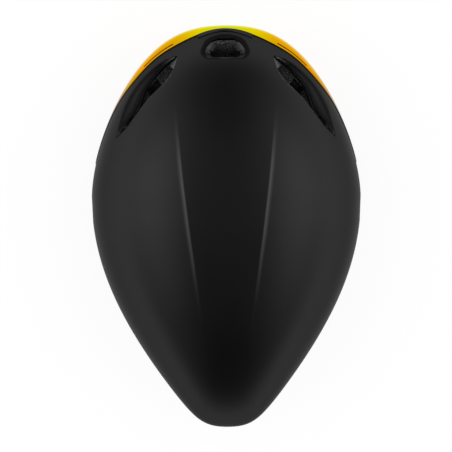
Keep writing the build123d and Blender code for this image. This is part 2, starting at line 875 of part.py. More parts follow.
def divider_body():
    half = divider_length / 2
    side = divider_width / 2
    block = box_between((web_plane - side, divider_y - half, divider_low),
                        (web_plane + side, divider_y + half, divider_high))
    block = fillet(block.edges().filter_by(Axis.X), divider_wall)
    lug_start = lever_width / 2 + fit_gap
    for direction in (-1, 1):
        y_values = sorted((divider_y + direction * lug_start,
                           divider_y + direction * (lug_start + divider_wall)))
        lug = box_between((web_plane, y_values[0], pin_z - 2 * lever_pin_radius),
                          (pin_x + 2 * lever_pin_radius, y_values[1], divider_high))
        block = block + lug
    slot = web_wall / 2 + fit_gap
    block = block - box_between((web_plane - slot, divider_y - half - overrun, web_low - overrun),
                                (web_plane + slot, divider_y - half + divider_wall * 3, web_high + fit_gap))
    return block - along_y(lever_pin_radius + lever_pin_gap / 2, divider_y - span, divider_y + span,
                           pin_x, pin_z)


def lever_pin():
    reach = lever_width / 2 + fit_gap + divider_wall
    return along_y(lever_pin_radius, divider_y - reach, divider_y + reach, pin_x, pin_z)


def cam_lever():
    half = lever_width / 2
    barrel = along_y(2 * lever_pin_radius - fit_gap, divider_y - half, divider_y + half, pin_x, pin_z)
    plate = box_between((pin_x - lever_wall / 2 + fit_gap, divider_y - half, pin_z - lever_length),
                        (pin_x + lever_wall / 2, divider_y + half, pin_z))
    return (barrel + plate) - along_y(lever_pin_radius + lever_pin_gap, divider_y - span, divider_y + span,
                                      pin_x, pin_z)


def chin_web(end_x):
    half = web_wall / 2
    start_y = divider_y - divider_length / 2 + divider_wall * 2
    side = box_between((web_plane - half, chin_corner_y, web_low + fit_gap),
                       (web_plane + half, start_y, web_high))
    front = box_between((end_x, chin_y - half, web_low + fit_gap), (chin_corner_x, chin_y + half, web_high))
    bend = Circle(chin_radius + half) - Circle(chin_radius - half)
    bend = extrude(bend, amount=web_high - web_low - fit_gap)
    bend = Pos(chin_corner_x, chin_corner_y, web_low + fit_gap) * bend
    bend = bend & box_between((chin_corner_x, chin_corner_y - span, 0), (span, chin_corner_y, span))
    return side + bend + front


def buckle_base():
    side = buckle_wall / 2
    low = web_low
    block = box_between((-buckle_length, chin_y - side, low), (0, chin_y + side, low + buckle_height))
    block = fillet(block.edges().filter_by(Axis.Y), divider_wall)
    slot = web_wall / 2 + fit_gap
    block = block - box_between((-span, chin_y - slot, 0), (tongue_slot_depth - buckle_length, chin_y + slot,
                                                            web_high + fit_gap))
    block = block - tongue_rail_solid(fit_gap, low + buckle_floor, span)
    pocket_end = chin_y - side + buckle_magnet_wall + fit_gap
    pocket = along_y(buckle_magnet_radius + fit_gap, chin_y - span, pocket_end,
                     buckle_magnet_x, low + buckle_height / 2)
    return block - pocket


def tongue_rail_solid(margin, low, high):
    rail = box_between((-2 * tongue_rail - margin, chin_y - tongue_rail * rail_half_share - margin, low),
                       (-tongue_rail + margin, chin_y + tongue_rail * rail_half_share + margin, high))
    neck = box_between((-tongue_rail - 2 * fit_gap, chin_y - tongue_rail * neck_half_share - margin, low),
                       (2 * fit_gap, chin_y + tongue_rail * neck_half_share + margin, high))
    return rail + neck


def buckle_tongue():
    side = buckle_wall / 2
    block = box_between((fit_gap, chin_y - side, web_low),
                        (tongue_length, chin_y + side, web_low + buckle_height))
    block = fillet(block.edges().filter_by(Axis.Y), divider_wall)
    slot = web_wall / 2 + fit_gap
    block = block - box_between((tongue_length - tongue_slot_depth, chin_y - slot, 0),
                                (span, chin_y + slot, web_high + fit_gap))
    return block + tongue_rail_solid(0, web_low + buckle_floor + fit_gap, web_low + buckle_height - fit_gap)


def buckle_magnet():
    front = chin_y - buckle_wall / 2
    return along_y(buckle_magnet_radius, front, front + buckle_magnet_wall, buckle_magnet_x,
                   web_low + buckle_height / 2)


def strap_tail():
    outer = chin_y - web_wall / 2 - fit_gap
    start = tongue_length + fit_gap
    return box_between((start, outer - web_wall, web_low + fit_gap),
                       (start + tail_web_length, outer, web_high))


def strap_keeper():
    front = chin_y - web_wall * 3 / 2 - 2 * fit_gap
    rear = chin_y + web_wall / 2 + fit_gap
    low = web_low
    high = web_high + fit_gap
    start = keeper_place - keeper_length / 2
    outer = box_between((start, front - keeper_wall, low - keeper_wall), (start + keeper_length,
                        rear + keeper_wall, high + keeper_wall))
    return outer - box_between((start - overrun, front, low), (start + keeper_length + overrun, rear, high))


def chin_pad():
    half = web_wall / 2 + fit_gap
    end = -buckle_length - fit_gap
    outer = box_between((-chin_corner_x, chin_y - half - chin_pad_wall, web_low),
                        (end, chin_y + half + chin_pad_wall, web_high + chin_pad_wall))
    return outer - box_between((-span, chin_y - half, 0), (span, chin_y + half, web_high + fit_gap))


def save(name, solid):
    if not isinstance(solid, Compound):
        solid = Compound([solid])
    export_step(solid, f"parts/{name}.step")


def save_pair(name, solid):
    save("left_" + name, solid)
    save("right_" + name, mirror(solid, Plane.YZ))


os.makedirs("parts", exist_ok=True)
liner_form = form(shell_wall + fit_gap)

save("outer_shell", outer_shell())
save("foam_liner", foam_liner(liner_form))
save("visor_seat", visor_seat(liner_form))
save("seat_magnets", magnets(shell_wall + fit_gap, magnet_thickness))
save("brow_trim", brow_trim())
save("tail_panel", tail_panel(liner_form))
save("exhaust_grille", exhaust_grille(liner_form))
save_pair("vent_scoop", vent_scoop(liner_form))
save("visor_lens", visor_lens())
save("visor_magnets", magnets(visor_wall - visor_proud + fit_gap / 2, shell_wall - visor_wall + fit_gap))

save("brow_pad", brow_pad())
save_pair("crown_pad", crown_pad())
save_pair("temple_pad", temple_pad())
save_pair("ear_pad", ear_pad(liner_form))

save("height_track", height_track())
save_pair("temple_socket", temple_socket())
save("cradle_yoke", cradle_yoke())
save("yoke_cover", yoke_cover())
save("yoke_screws", yoke_screws())
save("detent_spring", detent_spring())
save_pair("nape_pad", nape_pad())
save("left_band_arm", left_arm())
save("right_band_arm", right_arm())
save_pair("temple_pin", temple_pin())
save("dial_knob", dial_knob())
save("dial_pinion", dial_pinion())

save_pair("front_anchor", web_strap_anchor(front_anchor_y))
save_pair("rear_anchor", web_strap_anchor(rear_anchor_y))
save_pair("front_web", web_leg(front_anchor_y, divider_y - web_width / 2 - fit_gap))
save_pair("rear_web", web_leg(rear_anchor_y, divider_y + web_width / 2 + fit_gap))
save_pair("strap_divider", divider_body())
save_pair("lever_pin", lever_pin())
save_pair("cam_lever", cam_lever())
save("left_chin_web", chin_web(tongue_length - tongue_slot_depth + 2 * fit_gap))
save("right_chin_web", mirror(chin_web(buckle_length - tongue_slot_depth + 2 * fit_gap), Plane.YZ))
save("buckle_base", buckle_base())
save("buckle_magnet", buckle_magnet())
save("buckle_tongue", buckle_tongue())
save("strap_tail", strap_tail())
save("strap_keeper", strap_keeper())
save("chin_pad", chin_pad())
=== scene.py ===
"""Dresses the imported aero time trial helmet: its painted shell, mirror visor, foam, pads, webbing and studio."""

import math
from functools import partialmethod

import bmesh
import bpy
import numpy as np
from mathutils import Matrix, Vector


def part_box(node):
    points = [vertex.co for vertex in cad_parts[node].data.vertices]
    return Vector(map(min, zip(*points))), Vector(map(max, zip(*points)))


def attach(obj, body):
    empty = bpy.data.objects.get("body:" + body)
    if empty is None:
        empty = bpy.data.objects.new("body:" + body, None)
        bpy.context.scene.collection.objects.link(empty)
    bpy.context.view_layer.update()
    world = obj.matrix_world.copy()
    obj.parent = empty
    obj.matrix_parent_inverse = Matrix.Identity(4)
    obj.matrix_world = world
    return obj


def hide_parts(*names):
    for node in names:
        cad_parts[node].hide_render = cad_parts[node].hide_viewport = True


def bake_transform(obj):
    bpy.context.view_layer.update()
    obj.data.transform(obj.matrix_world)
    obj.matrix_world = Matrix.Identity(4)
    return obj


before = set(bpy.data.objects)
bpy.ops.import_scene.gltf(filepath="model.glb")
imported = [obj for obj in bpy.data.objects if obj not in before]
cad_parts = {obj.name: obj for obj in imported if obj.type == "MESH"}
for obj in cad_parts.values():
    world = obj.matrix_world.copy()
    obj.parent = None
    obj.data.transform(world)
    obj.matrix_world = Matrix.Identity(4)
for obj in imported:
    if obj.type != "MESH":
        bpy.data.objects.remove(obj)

bl_info = {
    "name": "Aero time trial helmet",
    "version": (1, 0, 0),
    "blender": (4, 5, 0),
    "location": "View3D > Sidebar > Helmet",
    "description": "Dresses the packed helmet frame and sets its studio",
    "category": "Object",
}

MM = 0.001
WELD = 1e-6  # metres; points nearer than this are joined

# The form, in millimetres, as the CAD source has it
FRONT_REACH, REAR_REACH = 146.8, 193.6
HALF_WIDTH, CROWN_HEIGHT = 114.4, 185.0
FRONT_WAIST, SIDE_WAIST, TAIL_WAIST = 78.0, 62.0, 95.0
CROWN_SETBACK, SQUARENESS = 7.0, 0.4
VISOR_PROUD = 0.6
TAIL_Y = (FRONT_REACH + VISOR_PROUD + REAR_REACH) / 2
WIDEST_Y = TAIL_Y - REAR_REACH
TIP_Y = WIDEST_Y - FRONT_REACH
CROWN_Y = WIDEST_Y - CROWN_SETBACK
HEAD_Y = WIDEST_Y - 12.0
HEAD = (80.0, 100.0, 95.0)
HEAD_BASE = 55.0
DOME = tuple(h - 0.4 for h in HEAD)  # the pads' backs, a little inside the liner's dome
EAR_INSET = 2.6
AXIS_REACH = (5.0, 220.0)  # the surface lies between these distances from the head's upright axis
FAR = 300.0

# Bezier points of the outline seen from above and of the spine seen from the side: how far they rise, and how far
# they lie from the peak, as shares
FRONT_PLAN = ((0, 0.42, 0.665, 1, 1), (1, 1, 0.88, 0.36, 0))
REAR_PLAN = ((1, 1, 0.19, 0.365, 0), (0, 0.58, 0.875, 1, 1))
FRONT_SPINE = ((0, 0.673, 1, 1), (1, 1, 0.556, 0))
REAR_SPINE = ((1, 1, 0.611, 0), (0, 0.449, 0.988, 1))

# Edges, as shares of the reach forward or back, the half width and the crown's height
EAR_FRONT = ((0.29, 0.43), (0.24, 0.365), (0.205, 0.31), (0.2, 0.255), (0.225, 0.16), (0.25, 0.06))
VISOR_SIDE = ((0.29, 0.43), (0.24, 0.365), (0.205, 0.31), (0.2, 0.255), (0.235, 0.18), (0.36, 0.11),
              (0.6, 0.045), (0.8, 0.025), (1.04, 0.02))
REAR_RIM = ((0.25, 0.03), (0.33, 0.12), (0.43, 0.25), (0.55, 0.335), (0.7, 0.38), (1.05, 0.42))
BROW_EDGE = ((0, 0.979, 0.573), (0.2, 0.957, 0.62), (0.36, 0.898, 0.646), (0.52, 0.822, 0.625),
             (0.665, 0.704, 0.585), (0.79, 0.563, 0.5), (0.885, 0.4, 0.42), (0.965, 0.205, 0.342),
             (0.985, 0.08, 0.29))
LEAF_INNER = ((0.357, 0.824), (0.394, 0.732), (0.453, 0.668), (0.56, 0.587), (0.679, 0.465), (0.815, 0.352))
LEAF_OUTER = ((0.357, 0.824), (0.453, 0.795), (0.56, 0.732), (0.702, 0.593), (0.783, 0.436), (0.815, 0.352))
SCOOP_INNER = ((0.357, 0.824), (0.446, 0.769), (0.513, 0.714), (0.587, 0.639), (0.65, 0.512), (0.815, 0.352))

# The raised spine's two creases: half distance between them at each place along the helmet, and height share
CREASE = ((-170, 50, 0), (-104, 42, 0.0), (-84.6, 40.3, 0.2), (-54, 37.8, 0.9), (-33.6, 35.7, 1),
          (-13.2, 33.2, 1), (7.2, 30.6, 0.9), (27.6, 27.6, 0.65), (48, 24.8, 0.35), (68.4, 21.7, 0.1),
          (97, 17.5, 0.0), (171, 8, 0))
SCOOP_FLOOR = 118.4
SCOOP_BOX = ((35, 98), (-150, -68))  # where a scoop can be, across and along
SCOOP_EDGE = 0.1  # where the shell ends in a side vent, as a share from the foam's edge to the outer edge

# Shell and visor, in millimetres
MIDDLE = np.array([0, 0, 90.0])
VENT_LEVEL, MARK_LEVEL = 96.0, 100.0  # above these heights the vents are cut and the top's marks painted
SPINE_FADE, ARCH_SLOPE = 3.4, 4.6  # how far the spine's lift and the front vent's dip take to fade
VISOR_GAP, VISOR_SLOT = 0.6, (4.3, 7.1)  # drops below the shell's edge
VISOR_SLOT_ENDS = (16, 35)  # distances back from the tip
VISOR_TURN = math.radians(84)

# Pads and straps, in millimetres
SIDES = ((1, "left"), (-1, "right"))
PAD_DEPTH, BROW_PAD_Z = 4.4, 98
SWELL_FRAMES, SWELL_CAP = 20, 0.2  # frames of cloth, and the most that a point may move as a share of the depth
WEB_PLANE, WEB_WALL, WEB_LOW, WEB_HIGH = 84.0, 1.5, 2.3, 15.4
WEB_MIDDLE = (WEB_LOW + WEB_HIGH) / 2
SEWN_FACE = WEB_WALL / 2 + 0.12
SIDE_WEBS = {"front": (WIDEST_Y - 34, WIDEST_Y - 7.3), "rear": (WIDEST_Y + 31, WIDEST_Y + 7.3)}
CHIN_Y, CHIN_RADIUS = WIDEST_Y - 82.0, 35.0
TONGUE_BEND = ("helmet", "tongue", (0.036, CHIN_Y * MM, 0.01), (0.0185, CHIN_Y * MM, 0.01))

# Finishes and studio, in metres
BLACK, LENS_BLACK = (0.0, 0.0, 0.0), (0.004, 0.004, 0.005)
VISOR_EDGES = ((0.96, 0.96, 0.08), (1.0, 0.74, 0.035), (0.3, 0.045, 0.02))  # tints at a glancing view
BESIDE_BROW_VENT = (0.022, 0.028)  # distances from the middle plane
FOAM_MOUTH = (0.1355, 0.1395)  # distances forward, where a side vent's foam colour with its painted highlight begins
KNIT_LOOP = 0.0011
OUTLINE_HEIGHT = 0.07  # where frame_width is measured
CAMERA_SHIFT = (0.0004, 0.0001)
SOFTBOX_OUT, SOFTBOX_HEIGHT, SOFTBOX_AIM = 1.35, 1.0, 0.08  # the last is the height that it faces
FLOOR_REACH = 12


def length(name, description, default):
    return bpy.props.FloatProperty(name=name, description=description, default=default, unit="LENGTH")


def colour(name, description, default):
    return bpy.props.FloatVectorProperty(name=name, description=description, default=default, size=3,
                                         subtype="COLOR")


def fraction(name, description, default):
    return bpy.props.FloatProperty(name=name, description=description, default=default, min=0, max=1,
                                   subtype="FACTOR")


class HelmetSizes(bpy.types.PropertyGroup):
    """Sizes of the visible pieces."""

    shell_wall: length("Shell wall", "Thickness of the outer shell", 0.0022)
    visor_wall: length("Visor wall", "Thickness of the visor lens", 0.002)
    shell_lip: length("Shell lip", "How far the shell's edges round over", 0.0006)
    visor_lip: length("Visor lip", "How far the visor's edges round over", 0.00035)
    skin_step: length("Skin step", "Spacing of the shell's mesh lines", 0.0022)
    crease_height: length("Crease height", "Height of the raised spine's shoulders", 0.0016)
    vent_recess: length("Vent recess", "Depth of the dip round the front vent", 0.0014)
    bead: length("Foam bead", "Size of one foam bead", 0.0023)
    weave: length("Weave", "Width of one yarn in the webbing", 0.0011)
    stitch_pitch: length("Stitch pitch", "Distance from one stitch to the next", 0.003)


class HelmetColours(bpy.types.PropertyGroup):
    """Colours of the finishes, as linear values."""

    shell: colour("Shell", "Matt lacquer", (0.041, 0.041, 0.042))
    # A painted highlight along the spine's creases
    ridge: colour("Ridge", "Lighter line along the spine's creases", (0.088, 0.088, 0.089))
    # Lightest colour of the side vents' dull floor; the shell's finish paints it darker at the open edge and tips
    scoop: colour("Scoop", "Dull floor of the side vents", (0.08, 0.08, 0.082))
    foam_skin: colour("Foam skin", "Smooth foam at the mouths of the vents", (0.085, 0.085, 0.087))
    foam: colour("Foam", "Bead foam liner", (0.05, 0.05, 0.052))
    plastic: colour("Plastic", "Moulded fittings", (0.028, 0.028, 0.029))
    fabric: colour("Pad fabric", "Knit on the pads", (0.065, 0.065, 0.07))
    webbing: colour("Webbing", "Woven straps", (0.05, 0.05, 0.053))
    thread: colour("Thread", "Stitches", (0.2, 0.2, 0.21))
    steel: colour("Steel", "Screws, pins, magnets and spring", (0.5, 0.5, 0.51))
    visor_centre: colour("Visor centre", "Mirror coating at the middle", (0.48, 0.58, 0.012))
    visor_lemon: colour("Visor lemon", "Mirror coating beside the middle", (0.67, 0.59, 0.01))
    visor_amber: colour("Visor amber", "Mirror coating between middle and side", (0.69, 0.36, 0.006))
    visor_side: colour("Visor side", "Mirror coating at the sides", (0.7, 0.22, 0.004))
    visor_wing: colour("Visor wing", "Mirror coating at the wings", (0.3, 0.04, 0.008))


class StudioLevels(bpy.types.PropertyGroup):
    """Light levels of the studio, and its camera."""

    room: fraction("Room", "Plain light of the room on all surfaces", 0.75)
    overhead: fraction("Overhead", "Brightness mirrored from overhead", 0.05)
    sides: fraction("Sides", "Brightness mirrored from left and right", 0.98)
    softbox: bpy.props.FloatProperty(name="Softbox", description="Power of each softbox", default=3.3,
                                     subtype="POWER")
    camera_distance: length("Camera distance", "Height of the camera", 12.0)
    camera_turn: bpy.props.FloatProperty(name="Camera turn", description="Turn of the camera about its view",
                                         default=math.radians(179.6), unit="ROTATION")
    frame_width: length("Frame width", "Width that the picture takes in", 0.3842)


def sizes():
    return bpy.context.scene.helmet_sizes


def colours():
    return bpy.context.scene.helmet_colours


def scaled(tint, by):
    return [c * by for c in tint]


# Curves and the form's surface

def bezier(values, t):
    """The Bezier curve of the values, at shares t."""
    rows = [np.full_like(t, v) for v in values]
    while len(rows) > 1:
        rows = [a + (b - a) * t for a, b in zip(rows, rows[1:])]
    return rows[0]


def spline(points, count, start=None, end=None):
    """Points on a smooth line through the given points, with the start and end directions if they are given."""
    p = np.array(points, float)
    chord = np.r_[0, np.cumsum(np.linalg.norm(np.diff(p, axis=0), axis=1))]
    n = len(p)
    a, b = np.zeros((n, n)), np.zeros_like(p)
    h = np.diff(chord)
    for i in range(1, n - 1):
        a[i, i - 1:i + 2] = h[i], 2 * (h[i - 1] + h[i]), h[i - 1]
        b[i] = 3 * (h[i] * (p[i] - p[i - 1]) / h[i - 1] + h[i - 1] * (p[i + 1] - p[i]) / h[i])
    for row, near, given, step in ((0, 1, start, p[1] - p[0]), (n - 1, n - 2, end, p[-1] - p[-2])):
        a[row, row] = 1
        if given is None:
            a[row, row], a[row, near] = 2, 1
            b[row] = 3 * step / h[0 if row == 0 else -1]
        else:
            b[row] = np.array(given, float) / np.linalg.norm(given)
    slopes = np.linalg.solve(a, b)
    s = np.linspace(0, chord[-1], count)
    k = np.clip(np.searchsorted(chord, s, side="right") - 1, 0, n - 2)
    t = ((s - chord[k]) / h[k])[:, None]
    hk = h[k][:, None]
    return ((2 * t**3 - 3 * t**2 + 1) * p[k] + (t**3 - 2 * t**2 + t) * hk * slopes[k]
            + (3 * t**2 - 2 * t**3) * p[k + 1] + (t**3 - t**2) * hk * slopes[k + 1])


EASE = 0.5 - 0.5 * np.cos(np.linspace(0, math.pi, 4001))


def profile(middle, top, halves):
    """Places along Y, and values that rise to top at middle, of a line made of two Bezier curves.

    Each half gives how far it reaches, the value at its foot, and its shares of rise and reach."""
    places = [bezier([middle + reach * s for s in shares], EASE) for reach, _, _, shares in halves]
    values = [bezier([foot + (top - foot) * r for r in rises], EASE) for _, foot, rises, _ in halves]
    return np.concatenate(places), np.concatenate(values)


def waist(y):
    """Height of the form's widest line."""
    ahead = SIDE_WAIST + (FRONT_WAIST - SIDE_WAIST) * ((WIDEST_Y - y) / FRONT_REACH) ** 2
    behind = SIDE_WAIST + (TAIL_WAIST - SIDE_WAIST) * ((y - WIDEST_Y) / REAR_REACH) ** 2
    return np.where(y < WIDEST_Y, ahead, behind)


def swell(turn):
    """How far the section stands out beyond an ellipse, at a turn from the top."""
    return np.sqrt(1 + SQUARENESS * (np.sin(turn) * np.cos(turn)) ** 2)


def halving(held, low, high):
    """The value from low to high up to which held is true."""
    for _ in range(44):
        middle = (low + high) / 2
        yes = held(middle)
        low, high = np.where(yes, middle, low), np.where(yes, high, middle)
    return (low + high) / 2


class Form:
    """The helmet's smooth form, shrunk all round by inset."""

    def __init__(self, inset=0.0):
        self.width_line = profile(WIDEST_Y, HALF_WIDTH - inset, (
            (inset - FRONT_REACH, 0, *FRONT_PLAN), (REAR_REACH - inset, 0, *REAR_PLAN)))
        self.top_line = profile(CROWN_Y, CROWN_HEIGHT - inset, (
            (TIP_Y - CROWN_Y + inset, FRONT_WAIST, *FRONT_SPINE), (TAIL_Y - CROWN_Y - inset, TAIL_WAIST, *REAR_SPINE)))

    def width(self, y):
        return np.interp(y, *self.width_line, left=0, right=0)

    def height(self, y):
        return np.interp(y, *self.top_line) - waist(y)

    def point(self, y, turn):
        s = swell(turn)
        return np.stack([self.width(y) * s * np.sin(turn), y + 0 * turn,
                         waist(y) + self.height(y) * s * np.cos(turn)], -1)

    def turn_at(self, x, y):
        """The turn from the top at which the upper surface is x from the middle plane."""
        share = np.abs(x) / np.maximum(self.width(y), 1e-6)
        return halving(lambda turn: swell(turn) * np.sin(turn) < share, 0, math.pi / 2)

    def top_at(self, x, y):
        turn = self.turn_at(x, y)
        return waist(y) + self.height(y) * swell(turn) * np.cos(turn)

    def reach_at(self, azimuth, z):
        """Distance from the head's upright axis to the surface, at an azimuth from the front and a height."""
        def inside(reach):
            y = HEAD_Y - reach * np.cos(azimuth)
            a = reach * np.sin(azimuth) / np.maximum(self.width(y), 1e-6)
            c = (z - waist(y)) / np.maximum(self.height(y), 1e-6)
            return np.hypot(a, c) < swell(np.arctan2(a, c))

        return halving(inside, *AXIS_REACH)


def brow_line():
    """Heights of the edge between shell and visor, by azimuth round the head's axis."""
    x, y, z = (np.array(column) for column in zip(*BROW_EDGE))
    azimuth = np.arctan2(HALF_WIDTH * x, HEAD_Y - (WIDEST_Y - FRONT_REACH * y))
    line = np.stack([azimuth * 100, CROWN_HEIGHT * z], -1)
    return spline(np.concatenate([line[:0:-1] * (-1, 1), line]), 801) / (100, 1)


BROW_LINE = brow_line()


def brow_height(azimuth):
    """Height of that edge at an azimuth."""
    return np.interp(azimuth, BROW_LINE[:, 0], BROW_LINE[:, 1])


def azimuth_of(p):
    """Turn from the front round the head's axis."""
    return np.arctan2(p[..., 0], HEAD_Y - p[..., 1])


def ahead(shares, forward=0.0):
    """Side view points from shares of the reach forward and of the crown's height."""
    return [(WIDEST_Y - FRONT_REACH * a - forward, CROWN_HEIGHT * b) for a, b in shares]


def plan(shares):
    """A top view line from shares of the half width and of the reach forward."""
    return spline([(HALF_WIDTH * a, WIDEST_Y - FRONT_REACH * b) for a, b in shares], 60)


def line_distance(points, line):
    """Distance from each flat point to a line of points."""
    x, y = points.T
    best = np.inf
    for (ax, ay), (bx, by) in zip(line, line[1:]):
        dx, dy = bx - ax, by - ay
        t = np.clip(((x - ax) * dx + (y - ay) * dy) / max(dx * dx + dy * dy, 1e-12), 0, 1)
        best = np.minimum(best, (x - ax - t * dx) ** 2 + (y - ay - t * dy) ** 2)
    return np.sqrt(best)


def inside_by(points, outline):
    """Distance from each flat point to a closed outline, above zero inside it."""
    closed = np.array([*outline, outline[0]], float)
    x, y = points.T
    inside = np.zeros(len(points), bool)
    for (ax, ay), (bx, by) in zip(closed, closed[1:]):
        if ay != by:
            inside ^= ((ay > y) != (by > y)) & (x < ax + (y - ay) * (bx - ax) / (by - ay))
    return np.where(inside, 1, -1) * line_distance(points, closed)


def smooth(value):
    """A smooth step from 0 at 0 to 1 at 1."""
    t = np.clip(value, 0, 1)
    return t * t * (3 - 2 * t)


def mirrored(half):
    """The half outline and its mirror image, as one closed outline."""
    return np.concatenate([half, half[-2:0:-1] * (-1, 1)])


HEEL = (WIDEST_Y + 37.0, 0.0)
RIM_LINE = spline([HEEL] + [(WIDEST_Y + REAR_REACH * a, CROWN_HEIGHT * b) for a, b in REAR_RIM], 160,
                  (1, 0), (1, 0.1))
SHELL_SIDE = np.concatenate([RIM_LINE, [(RIM_LINE[-1][0], FAR), (-FAR, FAR), (-FAR, 0)]])
EAR_CORNER = (WIDEST_Y - 29.0, 0.0)
EAR_LINE = spline(ahead(EAR_FRONT) + [EAR_CORNER], 90)
EAR_CUT = np.concatenate([EAR_LINE, [(EAR_CORNER[0], -FAR), (-FAR, -FAR), (-FAR, FAR),
                                     (EAR_LINE[0][0], FAR)]])
VISOR_LINE = spline(ahead(VISOR_SIDE, VISOR_GAP), 140)
VISOR_FRONT = np.concatenate([VISOR_LINE, [(-FAR, VISOR_LINE[-1][1]), (-FAR, FAR), (VISOR_LINE[0][0], FAR)]])
SCOOP_LINE, OUTER_LINE = plan(SCOOP_INNER), plan(LEAF_OUTER)
SCOOP_LIMIT = SCOOP_LINE + (OUTER_LINE - SCOOP_LINE) * SCOOP_EDGE
SCOOP_ZONE = np.concatenate([SCOOP_LINE, OUTER_LINE[-2:0:-1]])
SCOOP_TIPS = (OUTER_LINE[0][1], OUTER_LINE[-1][1])
LEAF = np.concatenate([plan(LEAF_INNER), SCOOP_LIMIT[-2:0:-1]])
BROW_VENT = mirrored(spline([(0, -158.2), (9, -157.9), (13, -155.2), (16.6, -148), (15.6, -143.4), (8, -142.5),
                             (0, -142.4)], 50, (1, 0), (-1, 0)))
BROW_ARCH = mirrored(spline([(0, -162.7), (9, -161.2), (15.8, -157.8), (19.6, -152), (20.3, -145), (17.4, -142),
                             (0, -141.8)], 50, (1, 0), (-1, 0)))


def scoop_share(x, y, z):
    """How far a point is across a side vent's scoop: 0 at the outer edge, 1 at the foam, below 0 outside."""
    flat = np.stack([np.abs(x), y], -1)
    low, high = np.transpose(SCOOP_BOX)
    near = ((flat > low) & (flat < high)).all(1) & (z > VENT_LEVEL)
    share = np.full(len(flat), -1.0)
    if near.any():
        spot = flat[near]
        inside = np.where(inside_by(spot, SCOOP_ZONE) > -0.02, 1, -1)
        to_foam, to_edge = line_distance(spot, SCOOP_LINE), line_distance(spot, OUTER_LINE)
        share[near] = inside * to_edge / (to_edge + to_foam + 1e-9)
    return share


def scoop_dip(x, y, z):
    """How deep a point of a side vent lies, from 0 at the edge and the tips to 1 at the foam."""
    return scoop_share(x, y, z) * smooth((y - SCOOP_TIPS[0]) / 9) * smooth((SCOOP_TIPS[1] - y) / 12)


def scoop_height(x, y, z):
    """Heights in a side vent: the form's height, bent smoothly down from the outer edge to the floor at the foam."""
    return z + (np.minimum(SCOOP_FLOOR, z) - z) * smooth(scoop_dip(x, y, z))


# Meshes

def edited_mesh(name, points, faces, edit):
    """A smooth mesh from points in millimetres, after edit has worked on it."""
    mesh = bpy.data.meshes.new(name)
    mesh.from_pydata([tuple(p) for p in np.asarray(points) * MM], [], [tuple(int(i) for i in f) for f in faces])
    bm = bmesh.new()
    bm.from_mesh(mesh)
    edit(bm)
    bm.to_mesh(mesh)
    bm.free()
    mesh.polygons.foreach_set("use_smooth", [True] * len(mesh.polygons))
    mesh.update()
    return mesh


def weld(bm):
    """Joins points that meet and removes what has no area and what is loose."""
    bmesh.ops.remove_doubles(bm, verts=bm.verts, dist=WELD)
    bmesh.ops.dissolve_degenerate(bm, edges=bm.edges, dist=WELD)
    bmesh.ops.delete(bm, geom=[v for v in bm.verts if not v.link_faces], context="VERTS")


def face_outwards(bm):
    bmesh.ops.recalc_face_normals(bm, faces=bm.faces)


def grid_quads(grid):
    """The quads of a grid of point numbers."""
    return np.stack([grid[:-1, :-1], grid[1:, :-1], grid[1:, 1:], grid[:-1, 1:]], -1).reshape(-1, 4)


def tube_mesh(name, rings):
    """A closed tube through rings of points, with its two ends capped."""
    grid = np.arange(len(rings) * len(rings[0])).reshape(len(rings), -1)
    quads = grid_quads(np.concatenate([grid, grid[:, :1]], 1))
    return edited_mesh(name, np.concatenate(rings), [*quads, grid[0], grid[-1][::-1]], face_outwards)


def vertex_places(mesh):
    """The mesh's points, in millimetres."""
    places = np.empty(len(mesh.vertices) * 3)
    mesh.vertices.foreach_get("co", places)
    return places.reshape(-1, 3) / MM


def set_values(mesh, name, values):
    mesh.attributes.new(name, "FLOAT", "POINT").data.foreach_set("value", values.astype(np.float32))


def add_piece(name, mesh, look, body, stands_for=()):
    """Puts the mesh into the scene as a piece that rides on body, or that is left unattached if body is None."""
    if not mesh.polygons:
        raise RuntimeError(f"{name} has no faces")
    piece = bpy.data.objects.new(name, mesh)
    bpy.context.scene.collection.objects.link(piece)
    mesh.materials.clear()
    mesh.materials.append(finish(look))
    if body:
        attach(piece, body)
    if stands_for:
        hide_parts(*stands_for)
    return piece


def unit_rows(vectors):
    """The vectors at length 1, where they have any."""
    return vectors / np.maximum(np.linalg.norm(vectors, axis=1), 1e-12)[:, None]


def face_normals(points, faces):
    """The faces' normals, each as long as twice its area."""
    a, b, c = (points[faces[:, i]] for i in range(3))
    return np.cross(b - a, c - a)


def summed_directions(count, groups, vectors):
    """Directions at count points, each the sum of the vectors in whose row of groups the point is."""
    total = np.zeros((count, 3))
    for column in groups.T:
        np.add.at(total, column, vectors)
    return unit_rows(total)


